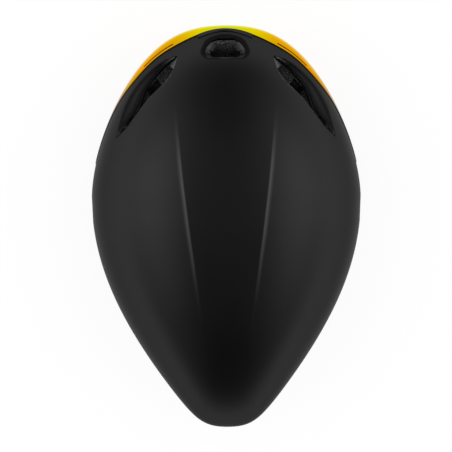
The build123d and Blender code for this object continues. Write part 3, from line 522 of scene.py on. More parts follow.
def cut_skin(us, vs, place, keep, snap=0.3):
    """A triangle skin over a grid of parameters, kept where keep is above zero and cut cleanly at zero.

    Grid points within snap of a step from the edge move onto it, and the other triangles on it are clipped."""
    params = np.stack(np.meshgrid(us, vs, indexing="ij"), -1)
    value = keep(place(params.reshape(-1, 2))).reshape(params.shape[:2])
    best = np.full(value.shape, snap)
    shift = np.zeros_like(params)
    too_far = 9
    for axis in (0, 1):
        for step in (-1, 1):
            other = np.roll(value, -step, axis)
            gap = np.roll(params, -step, axis) - params
            border = [slice(None)] * 2
            border[axis] = -1 if step == 1 else 0
            t = np.where(value * other < 0, value / np.where(value == other, 1, value - other), too_far)
            t[tuple(border)] = too_far
            closer = t < best
            best = np.where(closer, t, best)
            shift = np.where(closer[..., None], gap * t[..., None], shift)
    moved = np.abs(shift).sum(-1) > 0
    start, reach, first = params[moved], shift[moved], value[moved]
    t = np.ones(len(start))
    for _ in range(3):  # a secant search along each shift
        now = keep(place(start + reach * t[:, None]))
        t = np.clip(t - now * t / np.where(np.abs(now - first) < 1e-9, 1, now - first), 0, 1.8)
    params[moved] = start + reach * t[:, None]
    value[moved] = 0
    flat, level = params.reshape(-1, 2), value.reshape(-1)
    nu, nv = value.shape
    i, j = (x.ravel() for x in np.meshgrid(np.arange(nu - 1), np.arange(nv - 1), indexing="ij"))
    a, b, c, d = i * nv + j, (i + 1) * nv + j, (i + 1) * nv + j + 1, i * nv + j + 1
    flip = (i + j) % 2 == 0
    tris = np.concatenate([np.where(flip[:, None], np.stack([a, b, c], -1), np.stack([a, b, d], -1)),
                           np.where(flip[:, None], np.stack([a, c, d], -1), np.stack([b, c, d], -1))])
    low, high = level[tris].min(1), level[tris].max(1)
    whole = tris[(low >= 0) & (high > 0)]
    extra, made, faces = [], {}, []

    def crossing(p, q):
        key = (min(p, q), max(p, q))
        if key not in made:
            p, q = key
            t = level[p] / (level[p] - level[q])
            made[key] = len(flat) + len(extra)
            extra.append(flat[p] + (flat[q] - flat[p]) * t)
        return made[key]

    for tri in tris[(low < 0) & (high > 0)]:
        ring = []
        for p, q in zip(tri, np.roll(tri, -1)):
            if level[p] >= 0:
                ring.append(int(p))
            if level[p] * level[q] < 0:
                ring.append(crossing(int(p), int(q)))
        faces += [(ring[0], ring[k], ring[k + 1]) for k in range(1, len(ring) - 1)]
    if extra:
        flat = np.concatenate([flat, extra])
    faces = np.concatenate([whole, np.array(faces, int).reshape(-1, 3)])
    used, index = np.unique(faces, return_inverse=True)
    return flat[used], index.reshape(-1, 3)


def merge_points(points, faces, tolerance=1e-4):
    """The skin with points that share a place made one."""
    _, first, back = np.unique(np.round(points / tolerance).astype(np.int64), axis=0, return_index=True,
                               return_inverse=True)
    faces = back.reshape(-1)[faces]
    good = (np.diff(np.sort(faces, 1)) > 0).all(1)
    return points[first], faces[good]


def thick_skin(points, faces, wall, lip, rounds=6):
    """The skin as a closed wall: rounded lips run round its edges and a second skin lies inside."""
    points, faces = merge_points(points, faces)
    count = len(points)
    normals = summed_directions(count, faces, face_normals(points, faces))
    edges = np.concatenate([faces[:, [0, 1]], faces[:, [1, 2]], faces[:, [2, 0]]])
    code = np.sort(edges, 1)
    _, back, times = np.unique(code[:, 0].astype(np.int64) * count + code[:, 1], return_inverse=True,
                               return_counts=True)
    border = edges[times[back.reshape(-1)] == 1]
    side = np.cross(unit_rows(points[border[:, 1]] - points[border[:, 0]]), normals[border[:, 0]])
    outward = summed_directions(count, border, side)
    rim = np.unique(border)
    place = np.full(count, -1)
    place[rim] = np.arange(len(rim))
    rings = [points]
    for k in range(1, rounds):
        turn = math.pi * k / rounds
        rings.append(points[rim] + outward[rim] * lip * math.sin(turn)
                     - normals[rim] * wall * (1 - math.cos(turn)) / 2)
    rings.append(points - normals * wall)
    starts = np.cumsum([0] + [len(r) for r in rings])
    loops = [border, *[place[border]] * (rounds - 1), border]
    loops = [loop + start for loop, start in zip(loops, starts)]
    all_faces = [faces]
    for near, far in zip(loops, loops[1:]):
        all_faces.append(np.stack([near[:, 1], near[:, 0], far[:, 0]], -1))
        all_faces.append(np.stack([near[:, 1], far[:, 0], far[:, 1]], -1))
    all_faces.append(faces[:, ::-1] + starts[rounds])
    return np.concatenate(rings), np.concatenate(all_faces)


def skin_mesh(name, points, faces, centre, wall, lip, rounds=6):
    """A skin that faces away from centre, as a closed wall."""
    facing = (points[faces].mean(1) - centre) * face_normals(points, faces)
    if facing.sum() < 0:
        faces = faces[:, ::-1]
    return edited_mesh(name, *thick_skin(points, faces, wall, lip, rounds), weld)


def everywhere(points):
    return np.ones(len(points))


# Shader nodes

class Number:
    """A node socket that Python's signs of arithmetic work on."""

    def __init__(self, finish, socket):
        self.finish, self.socket = finish, socket

    def maths(self, operation, *others):
        return self.finish.node("ShaderNodeMath", {"operation": operation}, dict(enumerate([self, *others])))[0]

    __add__ = __radd__ = partialmethod(maths, "ADD")
    __mul__ = __rmul__ = partialmethod(maths, "MULTIPLY")
    __sub__ = partialmethod(maths, "SUBTRACT")
    __truediv__ = partialmethod(maths, "DIVIDE")
    __abs__ = partialmethod(maths, "ABSOLUTE")
    most = partialmethod(maths, "MAXIMUM")

    def __neg__(self):
        return self * -1

    def __rsub__(self, other):
        return -self + other

    def wave(self, spacing):
        """A sine wave along this number, once every spacing."""
        return (self * (2 * math.pi / spacing)).maths("SINE")

    def between(self, low, high):
        """A smooth step, 0 below low and 1 above high."""
        return self.finish.node("ShaderNodeMapRange", {"interpolation_type": "SMOOTHSTEP"},
                                {"Value": self, "From Min": low, "From Max": high})["Result"]


class Outputs:
    """A node's output sockets, by name or number."""

    def __init__(self, finish, node):
        self.finish, self.node = finish, node

    def __getitem__(self, key):
        return Number(self.finish, self.node.outputs[key])


class Finish:
    """A procedural material or world, built one node at a time."""

    def __init__(self, name, world=False):
        self.owner = (bpy.data.worlds if world else bpy.data.materials).new(name)
        self.owner.use_nodes = True
        self.tree = self.owner.node_tree
        self.tree.nodes.clear()

    def node(self, kind, settings=None, sockets=None):
        """A new node of this kind, with its settings and then the values or links of its sockets."""
        node = self.tree.nodes.new(kind)
        for key, value in (settings or {}).items():
            if key == "stops":
                while len(node.color_ramp.elements) < len(value):
                    node.color_ramp.elements.new(0.5)
                for element, (place, tint) in zip(node.color_ramp.elements, value):
                    element.position, element.color = place, (*tint, 1)
            else:
                setattr(node, key, value)
        for key, value in (sockets or {}).items():
            socket = node.inputs[key]
            if isinstance(value, Number):
                self.tree.links.new(value.socket, socket)
            elif socket.type == "RGBA" and len(value) == 3:
                socket.default_value = (*value, 1)
            else:
                socket.default_value = value
        return Outputs(self, node)

    def coordinates(self):
        return self.node("ShaderNodeTexCoord")["Object"]

    def attribute(self, name):
        return self.node("ShaderNodeAttribute", {"attribute_name": name})["Fac"]

    def parts(self, vector):
        out = self.node("ShaderNodeSeparateXYZ", None, {"Vector": vector})
        return out["X"], out["Y"], out["Z"]

    def noise(self, vector, size, detail=2.0):
        return self.node("ShaderNodeTexNoise", None, {"Vector": vector, "Scale": 1 / size, "Detail": detail})["Fac"]

    def cells(self, vector, size, feature="F1"):
        return self.node("ShaderNodeTexVoronoi", {"feature": feature},
                         {"Vector": vector, "Scale": 1 / size})["Distance"]

    def mix(self, factor, first, second):
        return self.node("ShaderNodeMix", {"data_type": "RGBA"}, {0: factor, 6: first, 7: second})[2]

    def shade(self, factor, tint, low, high):
        """The colour, made darker or lighter by a factor from 0 to 1."""
        return self.mix(factor, scaled(tint, low), scaled(tint, high))

    def bump(self, height, depth, after=None):
        sockets = {"Height": height, "Distance": depth, "Strength": 1.0}
        if after:
            sockets["Normal"] = after
        return self.node("ShaderNodeBump", None, sockets)["Normal"]

    def principled(self, **values):
        sockets = {key.replace("_", " ").title(): value for key, value in values.items()}
        return self.node("ShaderNodeBsdfPrincipled", None, sockets)[0]

    def blend(self, factor, first, second):
        return self.node("ShaderNodeMixShader", None, {0: factor, 1: first, 2: second})[0]

    def output(self, shader, kind="Material"):
        self.node("ShaderNodeOutput" + kind, None, {"Surface": shader})
        return self.owner

    def surface(self, **values):
        return self.output(self.principled(**values))


def shell_black(f):
    """Matt lacquer with a painted highlight on the creases, painted shade in the front vent's dip and at the side
    scoops' outer edges, and dull side scoops whose floors carry painted light and shade.
    """
    place = f.coordinates()
    broad = f.noise(place, 0.05, 3.0)
    lacquer = colours().shell
    # Painted highlight: the creases' lighter line stands in for light caught along them
    tone = f.mix(f.attribute("ridge"), f.shade(broad, lacquer, 0.94, 1.06), colours().ridge)
    # Painted shade: the front vent's dip is coloured darker where shade falls in it
    tone = f.mix(f.attribute("recess"), tone, scaled(lacquer, 0.34))
    scoop = f.attribute("scoop")
    # Painted shade: the shell is coloured darker towards each scoop's outer edge
    tone = f.mix(scoop.between(0.84, 1.0), tone, scaled(lacquer, 0.38))
    dull = scoop.between(1.12, 1.45)
    # Painted light and shade: the floor runs from near black at the open outer edge and tips to lighter deep in the
    # vent, against the shade there
    floor = f.shade(f.attribute("dip").between(0.1, 0.75), colours().scoop, 0.02, 1.0)
    # The front of each scoop takes the foam's colour, painted 2.2 times lighter as a painted highlight of the lit
    # front of the vent
    mouth = (-f.parts(place)[1]).between(*FOAM_MOUTH) * scoop.between(1.3, 1.7)
    tone = f.mix(dull, tone, f.mix(mouth, floor, scaled(colours().foam_skin, 2.2)))
    return f.surface(base_color=tone, metallic=1 - dull, specular_tint=(0.45, 0.45, 0.45, 1.0),
                     roughness=0.42 + broad * 0.06, normal=f.bump(f.noise(place, 0.0006), 0.000025))


def eps_foam(f):
    """Bead foam, darker where little light gets into the vents."""
    place = f.coordinates()
    bead = sizes().bead
    seam = f.cells(place, bead, "DISTANCE_TO_EDGE").between(0.0, 0.12)
    fleck = f.noise(place, 0.0011)
    x, y, z = f.parts(place)
    # Painted shade: the foam is coloured darker towards the back of the front and side vents, where little light gets
    # in
    ahead = -y
    brow = 0.35 + ahead.between(0.146, 0.153) * 0.65
    side = 0.22 + ahead.between(0.112, 0.119) * 0.6
    lit = brow + (side - brow) * abs(x).between(*BESIDE_BROW_VENT)
    in_vents = ahead.between(0.07, 0.08) * z.between(0.094, 0.1)
    tone = f.mix((1 - lit) * in_vents, f.shade(seam, colours().foam, 0.25, 1.5), BLACK)
    beads = f.bump(-f.cells(place, bead) + fleck * 0.15, bead * 0.35, f.bump(seam, 0.0003))
    return f.surface(base_color=tone, roughness=0.5 + fleck * 0.2, normal=beads)


def foam_skin(f):
    """Smooth bead foam at the vents' mouths, with painted shade towards its foot and behind the front vent."""
    place = f.coordinates()
    bead = sizes().bead * 0.7
    seam = f.cells(place, bead, "DISTANCE_TO_EDGE").between(0.0, 0.15)
    fleck = f.noise(place, 0.0009)
    x, y, _ = f.parts(place)
    # Painted shade behind the front vent and towards the foot of each lining
    behind = (1 - (-y).between(0.1455, 0.1535)) * (1 - abs(x).between(*BESIDE_BROW_VENT)) * 0.72
    tone = f.shade(seam * (0.5 + fleck), colours().foam_skin, 0.45, 1.5)
    tone = f.mix(behind.most(f.attribute("depth")), tone, BLACK)
    return f.surface(base_color=tone, roughness=0.55 + fleck * 0.2,
                     normal=f.bump(-f.cells(place, bead) + fleck * 0.2, 0.0006))


def black_plastic(f):
    place = f.coordinates()
    grain = f.noise(place, 0.0005, 3.0)
    return f.surface(base_color=f.shade(f.noise(place, 0.012), colours().plastic, 0.8, 1.25),
                     roughness=0.42 + grain * 0.16, normal=f.bump(grain, 0.00004))


def band_nylon(f):
    place = f.coordinates()
    cloud = f.noise(place, 0.018)
    return f.surface(base_color=f.shade(cloud, colours().plastic, 1.2, 1.9), roughness=0.3 + cloud * 0.12,
                     normal=f.bump(f.noise(place, 0.0009), 0.00002))


def dial_rubber(f):
    grain = f.noise(f.coordinates(), 0.0007, 4.0)
    return f.surface(base_color=f.shade(grain, colours().plastic, 0.9, 1.4), roughness=0.68 + grain * 0.18,
                     normal=f.bump(grain, 0.00008))


def steel(f):
    """Turned steel, with streaks along the helmet."""
    x, y, z = f.parts(f.coordinates())
    stretched = f.node("ShaderNodeCombineXYZ", None, {"X": x * 4.0, "Y": y * 0.3, "Z": z * 4.0})[0]
    streak = f.noise(stretched, 0.0008)
    return f.surface(base_color=f.shade(streak, colours().steel, 0.8, 1.1), metallic=1.0,
                     roughness=0.22 + streak * 0.18)


def magnet_steel(f):
    cloud = f.noise(f.coordinates(), 0.003)
    return f.surface(base_color=f.shade(cloud, colours().steel, 1.0, 1.25), metallic=1.0,
                     roughness=0.12 + cloud * 0.1)


def pad_fabric(f):
    """A fine knit with some fuzz."""
    place = f.coordinates()
    x, y, z = f.parts(place)
    rows = (x + z).wave(KNIT_LOOP) * (y + z * 0.5).wave(KNIT_LOOP)
    fuzz = f.noise(place, 0.0004, 3.0)
    return f.surface(base_color=f.shade(rows * 0.5 + 0.5, colours().fabric, 0.6, 1.3), roughness=0.8 + fuzz * 0.15,
                     sheen_weight=0.25, normal=f.bump(rows * 0.5 + fuzz * 0.7, 0.00018))


def webbing(f):
    """A herringbone weave that follows the strap's own coordinates."""
    u, v, _ = f.parts(f.node("ShaderNodeUVMap", {"uv_map": "cloth"})["UV"])
    yarn = sizes().weave
    chevron = abs(u.wave(yarn * 6)) * yarn
    height = u.wave(yarn) * 0.4 + (v + chevron).wave(yarn) * 0.6
    fuzz = f.noise(f.coordinates(), 0.0005)
    return f.surface(base_color=f.shade(height * 0.5 + 0.5, colours().webbing, 0.5, 1.5),
                     roughness=0.62 + fuzz * 0.2, sheen_weight=0.15, normal=f.bump(height + fuzz * 0.4, 0.00016))


def thread(f):
    x, y, z = f.parts(f.coordinates())
    ply = (x + y + z).wave(0.0005)
    return f.surface(base_color=f.shade(ply * 0.5 + 0.5, colours().thread, 0.7, 1.2), roughness=0.6 + ply * 0.05)


def visor_mirror(f):
    """A mirror coating that runs from yellow green in the middle to dark red, on a black lens."""
    place = f.coordinates()
    x, _, z = f.parts(place)
    side = abs(x) / (HALF_WIDTH * MM)
    drift = f.noise(place, 0.09, 1.0) * 0.06 - 0.03
    share = side + drift + (0.58 - z / (CROWN_HEIGHT * MM)) * 0.12
    c = colours()
    ramp = f.node("ShaderNodeValToRGB", {"stops": [
        (0.0, c.visor_centre), (0.2, c.visor_lemon), (0.36, c.visor_amber), (0.62, c.visor_side),
        (0.75, c.visor_wing), (0.86, scaled(c.visor_wing, 0.25))]}, {"Fac": share})
    coated = f.attribute("coated")
    tone = f.mix(coated, LENS_BLACK, ramp["Color"])
    gloss = 0.07 + f.noise(place, 0.02, 3.0) * 0.05 + (1 - coated) * 0.4
    face, flank, wing = (f.principled(base_color=tone, metallic=coated, roughness=gloss, specular_tint=(*edge, 1.0))
                         for edge in VISOR_EDGES)
    return f.output(f.blend(side.between(0.7, 0.86), f.blend(side.between(0.05, 0.5), face, flank), wing))


FINISH_MAKERS = {make.__name__: make for make in (
    shell_black, eps_foam, foam_skin, black_plastic, band_nylon, dial_rubber, steel, magnet_steel, pad_fabric,
    webbing, thread, visor_mirror)}
FINISHES = {}


def finish(name):
    """The named finish, made when it is first asked for."""
    if name not in FINISHES:
        FINISHES[name] = FINISH_MAKERS[name](Finish(name))
    return FINISHES[name]


# Shell, visor and vents

def crease_at(y):
    """Half the distance between the creases, and the spine's height share, at places along Y."""
    table = np.array(CREASE, float)
    line = spline(table[:, :2], 400)
    return np.interp(y, line[:, 0], line[:, 1]), np.interp(y, table[:, 0], table[:, 2])


def shell_lines():
    """The shell's mesh lines: places along Y, and places across with one line on each crease."""
    step = sizes().skin_step / MM
    brow_step, vent_step, side_step = 0.41 * step, 0.82 * step, 1.3 * step
    rear_turn = np.linspace(0.1, math.pi / 2, int(REAR_REACH / step))
    along_y = np.r_[np.arange(TIP_Y + 1.5, -140, brow_step), np.arange(-139.5, -62, vent_step),
                    np.arange(-60, WIDEST_Y, side_step), WIDEST_Y + REAR_REACH * np.sin(rear_turn)]
    beside = np.array([0, 0.5, 1.0, 1.5, 2.1, 2.8, 3.6, 4.6, 5.8, 7.4])  # millimetres from a crease
    inner = np.r_[np.linspace(0, 0.6, 32), np.linspace(0.64, 0.86, 6), 1 - beside[1:-1][::-1] / 60]
    outer = np.r_[beside / 190, np.linspace(0.05, 0.5, 32), np.linspace(0.52, 1, 22)]
    half = np.r_[np.unique(inner), 1 + outer]
    return along_y, np.unique(np.round(np.r_[-half, half], 6))


def shell_skin():
    """The shell's outer skin: the form with its raised spine, dipped arch and scoops, cut at its edges."""
    form = Form()
    lip = sizes().shell_lip / MM

    def place(params):
        y, v = params.T
        half, rise = crease_at(y)
        crease = form.turn_at(np.minimum(half, 0.55 * form.width(y)), y)
        last = np.radians(128 + 52 * smooth((y - 40) / 90))
        share = np.abs(v)
        turn = np.where(share < 1, crease * share, crease + (last - crease) * (share - 1))
        point = form.point(y, turn * np.sign(v))
        x = np.abs(point[:, 0])
        edge = np.abs(form.point(y, crease)[:, 0])
        spine = np.where(x < edge, (x / np.maximum(edge, 1)) ** 2, 1 - smooth((x - edge) / SPINE_FADE))
        point[:, 2] += np.where(turn < math.pi / 2, rise * sizes().crease_height / MM * spine, 0)
        dip = smooth(inside_by(point[:, :2], BROW_ARCH) / ARCH_SLOPE) * sizes().vent_recess / MM
        point[:, 2] -= dip * (point[:, 2] > FRONT_WAIST + 20)
        point[:, 2] = scoop_height(*point.T)
        return point

    def keep(p):
        side = p[:, 1:]
        brow = np.maximum(-inside_by(side, EAR_CUT), p[:, 2] - brow_height(azimuth_of(p)))
        leaf = -inside_by(np.stack([np.abs(p[:, 0]), p[:, 1]], -1), LEAF)
        vents = np.where(p[:, 2] > VENT_LEVEL, np.minimum(leaf, -inside_by(p[:, :2], BROW_VENT)), FAR)
        return np.minimum(np.minimum(inside_by(side, SHELL_SIDE), brow), vents) - lip

    params, faces = cut_skin(*shell_lines(), place, keep)
    return place(params), faces


def paint_scoop(mesh):
    """Marks how far each point is across a scoop, one more than scoop_share, and how deep it lies."""
    place = vertex_places(mesh).T
    set_values(mesh, "scoop", scoop_share(*place) + 1)
    # This depth sets the scoop floor's painted light and shade
    set_values(mesh, "dip", scoop_dip(*place))


def make_shell():
    mesh = skin_mesh("shell_skin", *shell_skin(), MIDDLE, sizes().shell_wall / MM, sizes().shell_lip / MM)
    place = vertex_places(mesh)
    high = place[:, 2] > MARK_LEVEL
    half, rise = crease_at(place[:, 1])
    # Painted highlight along the creases of the raised spine, on the top only
    set_values(mesh, "ridge", rise ** 2 * np.exp(-(np.abs(place[:, 0]) - half - 1.3) ** 2) * high)
    # Painted shade in the front vent's dip, on the top only
    set_values(mesh, "recess", smooth(inside_by(place[:, :2], BROW_ARCH) / 0.8 + 0.5) * high)
    paint_scoop(mesh)
    add_piece("shell_skin", mesh, "shell_black", "helmet", ["outer_shell"])


def make_visor():
    form = Form(-VISOR_PROUD)
    lip = sizes().visor_lip / MM
    slot_high, slot_low = VISOR_SLOT
    fine = np.linspace(0, VISOR_TURN, 1000)
    y = HEAD_Y - form.reach_at(fine, brow_height(fine) - slot_high) * np.cos(fine)
    start, end = (np.interp(TIP_Y + back, y, fine) for back in VISOR_SLOT_ENDS)
    half = np.unique(np.r_[np.linspace(0, start, 22), np.linspace(start, end, 12), np.linspace(end, VISOR_TURN, 44)])
    drops = np.r_[VISOR_GAP + lip, 1.4, 2.2, 3.2, 4.2, slot_high, slot_low, 7.6, 8.8, 10.4,
                  np.linspace(12.5, 118, 46)]

    def place(params):
        azimuth, drop = params.T
        z = brow_height(azimuth) - drop
        reach = form.reach_at(azimuth, z)
        return np.stack([reach * np.sin(azimuth), HEAD_Y - reach * np.cos(azimuth), z], -1)

    def keep(p):
        return inside_by(p[:, 1:], VISOR_FRONT) - lip

    params, faces = cut_skin(np.r_[-half[:0:-1], half], drops, place, keep)
    turn, drop = np.abs(params[faces].mean(1)).T
    faces = faces[~((turn > start) & (turn < end) & (drop > slot_high) & (drop < slot_low))]
    mesh = skin_mesh("visor_mirror", place(params), faces, MIDDLE, sizes().visor_wall / MM, lip)
    at = vertex_places(mesh)
    depth = form.reach_at(azimuth_of(at), at[:, 2]) - np.hypot(at[:, 0], at[:, 1] - HEAD_Y)
    set_values(mesh, "coated", (np.abs(depth) < 0.02) * 1.0)
    add_piece("visor_mirror", mesh, "visor_mirror", "visor", ["visor_lens"])


def along(line, share):
    """Points on a flat line, at shares from 0 to 1 of its count of points."""
    place = share * (len(line) - 1)
    return np.stack([np.interp(place, np.arange(len(line)), line[:, k]) for k in (0, 1)], -1)


def make_scoop(side, name):
    """A side vent's smooth floor, which runs under the shell's skin at its outer edge."""
    form = Form()

    def place(params):
        a, b = along(SCOOP_LINE, params[:, 0]), along(OUTER_LINE, params[:, 0])
        x, y = (a + (b - a) * params[:, 1:]).T
        under = smooth((params[:, 1] - 0.03) / 0.05) * 2.5
        return np.stack([side * x, y, scoop_height(x, y, form.top_at(x, y)) - under], -1)

    across = np.r_[0.0, 0.015, 0.03, 0.042, 0.055, 0.068, 0.08, np.linspace(0.12, 0.55, 10)]
    params, faces = cut_skin(np.linspace(0.03, 0.97, 60), across, place, everywhere)
    mesh = skin_mesh(name + "_scoop_floor", place(params), faces, (0, -60, 0), 1.4, 0.25, 4)
    paint_scoop(mesh)
    add_piece(name + "_scoop_floor", mesh, "shell_black", "helmet", [name + "_vent_scoop"])


def make_scoops():
    for side, name in SIDES:
        make_scoop(side, name)


def lining(name, place, steps, painted_foot_shade):
    """A thin foam skin in a vent's mouth, over shares from 0 to 1 both ways, with painted shade of strength
    painted_foot_shade towards its foot.
    """
    params, faces = cut_skin(*(np.linspace(0, 1, count) for count in steps), place, everywhere)
    mesh = skin_mesh(name, place(params), faces, (0, -120, 60), 1.0, 0.2, 4)
    x, y, z = vertex_places(mesh).T
    # Painted shade, deeper the further a point lies below the form's surface
    set_values(mesh, "depth", painted_foot_shade * smooth((Form().top_at(x, y) - z - 4.5) / 6))
    add_piece(name, mesh, "foam_skin", "helmet")


def make_linings():
    form = Form()
    mouth = np.concatenate([BROW_VENT, BROW_VENT[:1]])
    middle = np.array([0, -143.5])

    def throat(params):
        """The wall round the front vent, which leans in as it goes down, and stands highest in front."""
        down = params[:, 1:]
        rim = along(mouth, params[:, 0]) - middle
        x, y = (middle + rim * (1.05 - 0.3 * down - 0.12 * down * (rim[:, 1:] < -6.5))).T
        rim_x, rim_y = (middle + rim * 1.05).T
        front = np.clip((middle[1] - rim_y) / 14, 0, 1)
        top = form.top_at(rim_x, rim_y) - 4.2 + 1.6 * front - 4 * smooth((rim_y + 146.5) / 2)
        return np.stack([x, y, top - (8 - 7 * front) * params[:, 1] ** 1.2], -1)

    lining("brow_vent_lining", throat, (120, 9), 0.75)
    inner = plan(LEAF_INNER)
    for side, name in SIDES:
        def cheek(params):
            """The slope of foam at a side vent's front tip."""
            s, t = params.T
            near, far = (along(line, s * 0.115 + 0.015) for line in (inner, OUTER_LINE))
            x, y = (near + (far - near) * 0.55 * params[:, 1:] * (1.2 - 0.4 * params[:, :1])).T
            top = form.top_at(*near.T) - 2.4
            return np.stack([side * x, y, top + (SCOOP_FLOOR + 4 - top) * t * (0.7 + 0.3 * s)], -1)

        lining(name + "_vent_cheek", cheek, (16, 10), 0.0)


# Pads

CUSHIONS = []


def cushion(name, place, depth, across, body, node, steps, channels=0):
    """A padded piece: a rounded patch of a surface, crowned on the side that meets the head.

    place gives points and inward directions for shares from -1 to 1 both ways, across is the patch's half
    sizes, and channels is how many sewn lines cross it."""
    u, v = (x.ravel() for x in np.meshgrid(*(np.sin(np.linspace(-math.pi / 2, math.pi / 2, count))
                                             for count in steps), indexing="ij"))
    corner = 0.45 * min(across)
    px, py = u * across[0], v * across[1]
    over_x = np.maximum(np.abs(px) - (across[0] - corner), 0) / corner
    over_y = np.maximum(np.abs(py) - (across[1] - corner), 0) / corner
    diagonal = np.maximum(np.hypot(over_x, over_y), 1e-9)
    pull = np.where(over_x * over_y > 0, np.maximum(over_x, over_y) / diagonal, 1)
    px = np.sign(px) * (np.abs(px) - over_x * corner * (1 - pull)) * (1 - 0.035 * np.cos(v * math.pi / 2))
    py = np.sign(py) * (np.abs(py) - over_y * corner * (1 - pull)) * (1 - 0.05 * np.cos(u * math.pi / 2))
    rim = np.minimum(across[0] * (1 - np.abs(u)), across[1] * (1 - np.abs(v)))
    crown = 1 - (1 - np.clip(rim / (depth * 0.9), 0, 1)) ** 2.4
    base, inward = place(px / across[0], py / across[1])
    soft = base + inward * (depth * (0.1 + 0.72 * crown))[:, None]
    count = len(base)
    grid = np.arange(count).reshape(steps)
    quads = grid_quads(grid)
    loop = np.r_[grid[:, 0], grid[-1, 1:], grid[-2::-1, -1], grid[0, -2:0:-1]]
    after = np.roll(loop, -1)
    walls = np.stack([loop, after, after + count, loop + count], -1)
    mesh = edited_mesh(name, np.concatenate([base, soft]), [*quads[:, ::-1], *(quads + count), *walls], face_outwards)
    piece = add_piece(name, mesh, "pad_fabric", body, [node])
    seam = 0.35 * np.exp(-((rim - 1.5) / 0.55) ** 2)
    if channels:
        at = (u + 1) * (channels + 1) / 2
        beside = (at - np.clip(np.round(at), 1, channels)) * 2 * across[0] / (channels + 1)
        seam = np.maximum(seam, 0.42 * np.exp(-(beside / 1.1) ** 2))
    CUSHIONS.append((piece, base, inward, depth, seam))


def swell_cushions():
    """Blows the pads up as cloth from their fixed backs, then draws in their seams."""
    scene = bpy.context.scene
    for piece, base, *_ in CUSHIONS:
        piece.vertex_groups.new(name="back").add(list(range(len(base))), 1.0, "REPLACE")
        cloth = piece.modifiers.new("cloth", "CLOTH")
        cloth.settings.quality = 4
        cloth.settings.mass = 0.2
        cloth.settings.use_pressure = True
        cloth.settings.uniform_pressure_force = 4.0
        cloth.settings.vertex_group_mass = "back"
        cloth.settings.effector_weights.gravity = 0.0
        cloth.point_cache.frame_start, cloth.point_cache.frame_end = 1, SWELL_FRAMES
    for frame_number in range(1, SWELL_FRAMES + 1):
        scene.frame_set(frame_number)
    graph = bpy.context.evaluated_depsgraph_get()
    for piece, base, inward, depth, seam in CUSHIONS:
        before = vertex_places(piece.data)
        move = vertex_places(piece.evaluated_get(graph).data) - before
        length_moved = np.linalg.norm(move, axis=1)
        move *= (np.minimum(length_moved, SWELL_CAP * depth) / np.maximum(length_moved, 1e-9))[:, None]
        soft = (before + move)[len(base):]
        rise = ((soft - base) * inward).sum(1)
        wanted = np.clip(rise * (1 - seam), 0.05, 0.97 * depth)
        soft += inward * (wanted - rise)[:, None]
        piece.modifiers.clear()
        piece.vertex_groups.clear()
        piece.data.vertices.foreach_set("co", (np.concatenate([base, soft]) * MM).ravel())
        piece.data.update()
    scene.frame_set(1)


def with_inward(p):
    """Points of the liner's head dome, with the directions into it."""
    return p, unit_rows(-(p - (0, HEAD_Y, HEAD_BASE)) / np.square(DOME))


def wall_place(azimuth, height, half_turn, half_height):
    """A patch of the dome's wall, by turn and height."""
    def place(u, v):
        z = height + v * half_height
        ring = np.sqrt(1 - ((z - HEAD_BASE) / DOME[2]) ** 2)
        turn = azimuth + u * half_turn
        return with_inward(np.stack([DOME[0] * ring * np.sin(turn), HEAD_Y - DOME[1] * ring * np.cos(turn), z], -1))
    return place


def crown_place(middle_x, half_x, half_y):
    """A patch of the dome's top, seen from above."""
    def place(u, v):
        x, y = middle_x + v * half_x, HEAD_Y + u * half_y
        z = HEAD_BASE + DOME[2] * np.sqrt(1 - (x / DOME[0]) ** 2 - ((y - HEAD_Y) / DOME[1]) ** 2)
        return with_inward(np.stack([x, y, z], -1))
    return place


def ear_place(side, middle, half):
    """A patch of the ear cover's inner face."""
    inner = Form(EAR_INSET)

    def place(u, v):
        y, z = middle.y + u * half.y * 0.98, middle.z + v * half.z * 0.97
        turn = np.full_like(y, 1.6)
        for _ in range(30):
            turn = np.arccos(np.clip((z - waist(y)) / inner.height(y) / swell(turn), -1, 1))
        return inner.point(y, turn) * (side, 1, 1), np.tile((-float(side), 0, 0), (len(u), 1))
    return place


def nape_place(middle, half):
    """The flat back of a nape pad."""
    def place(u, v):
        back = np.full_like(u, middle.y + half.y)
        return np.stack([middle.x + u * half.x, back, middle.z + v * half.z], -1), np.tile((0, -1.0, 0), (len(u), 1))
    return place


def middle_and_half(node):
    """The middle and half size of a node's box, in millimetres."""
    low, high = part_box(node)
    return (low + high) / 2 / MM, (high - low) / 2 / MM


def make_chin_cushion():
    """The chin pad wraps the webbing, so its section is a soft ring pulled along the strap."""
    middle, half = middle_and_half("chin_pad")
    turn = np.linspace(0, 2 * math.pi, 28, endpoint=False)
    along_y = np.sign(np.cos(turn)) * np.abs(np.cos(turn)) ** 0.75 * half.y
    along_z = np.sign(np.sin(turn)) * np.abs(np.sin(turn)) ** 0.6 * half.z
    rings = []
    for share in np.linspace(-1, 1, 40):
        plump = 1 - 0.35 * abs(share) ** 6 - 0.1 * math.cos(share * 9) ** 2 * (abs(share) < 0.8)
        x = np.full(len(turn), middle.x + share * half.x * 0.99)
        rings.append(np.stack([x, middle.y + along_y * plump, middle.z + along_z * (1 - 0.12 * abs(share) ** 8)], -1))
    piece = add_piece("chin_cushion", tube_mesh("chin_cushion", rings), "pad_fabric", "helmet",
                      ["chin_pad"])


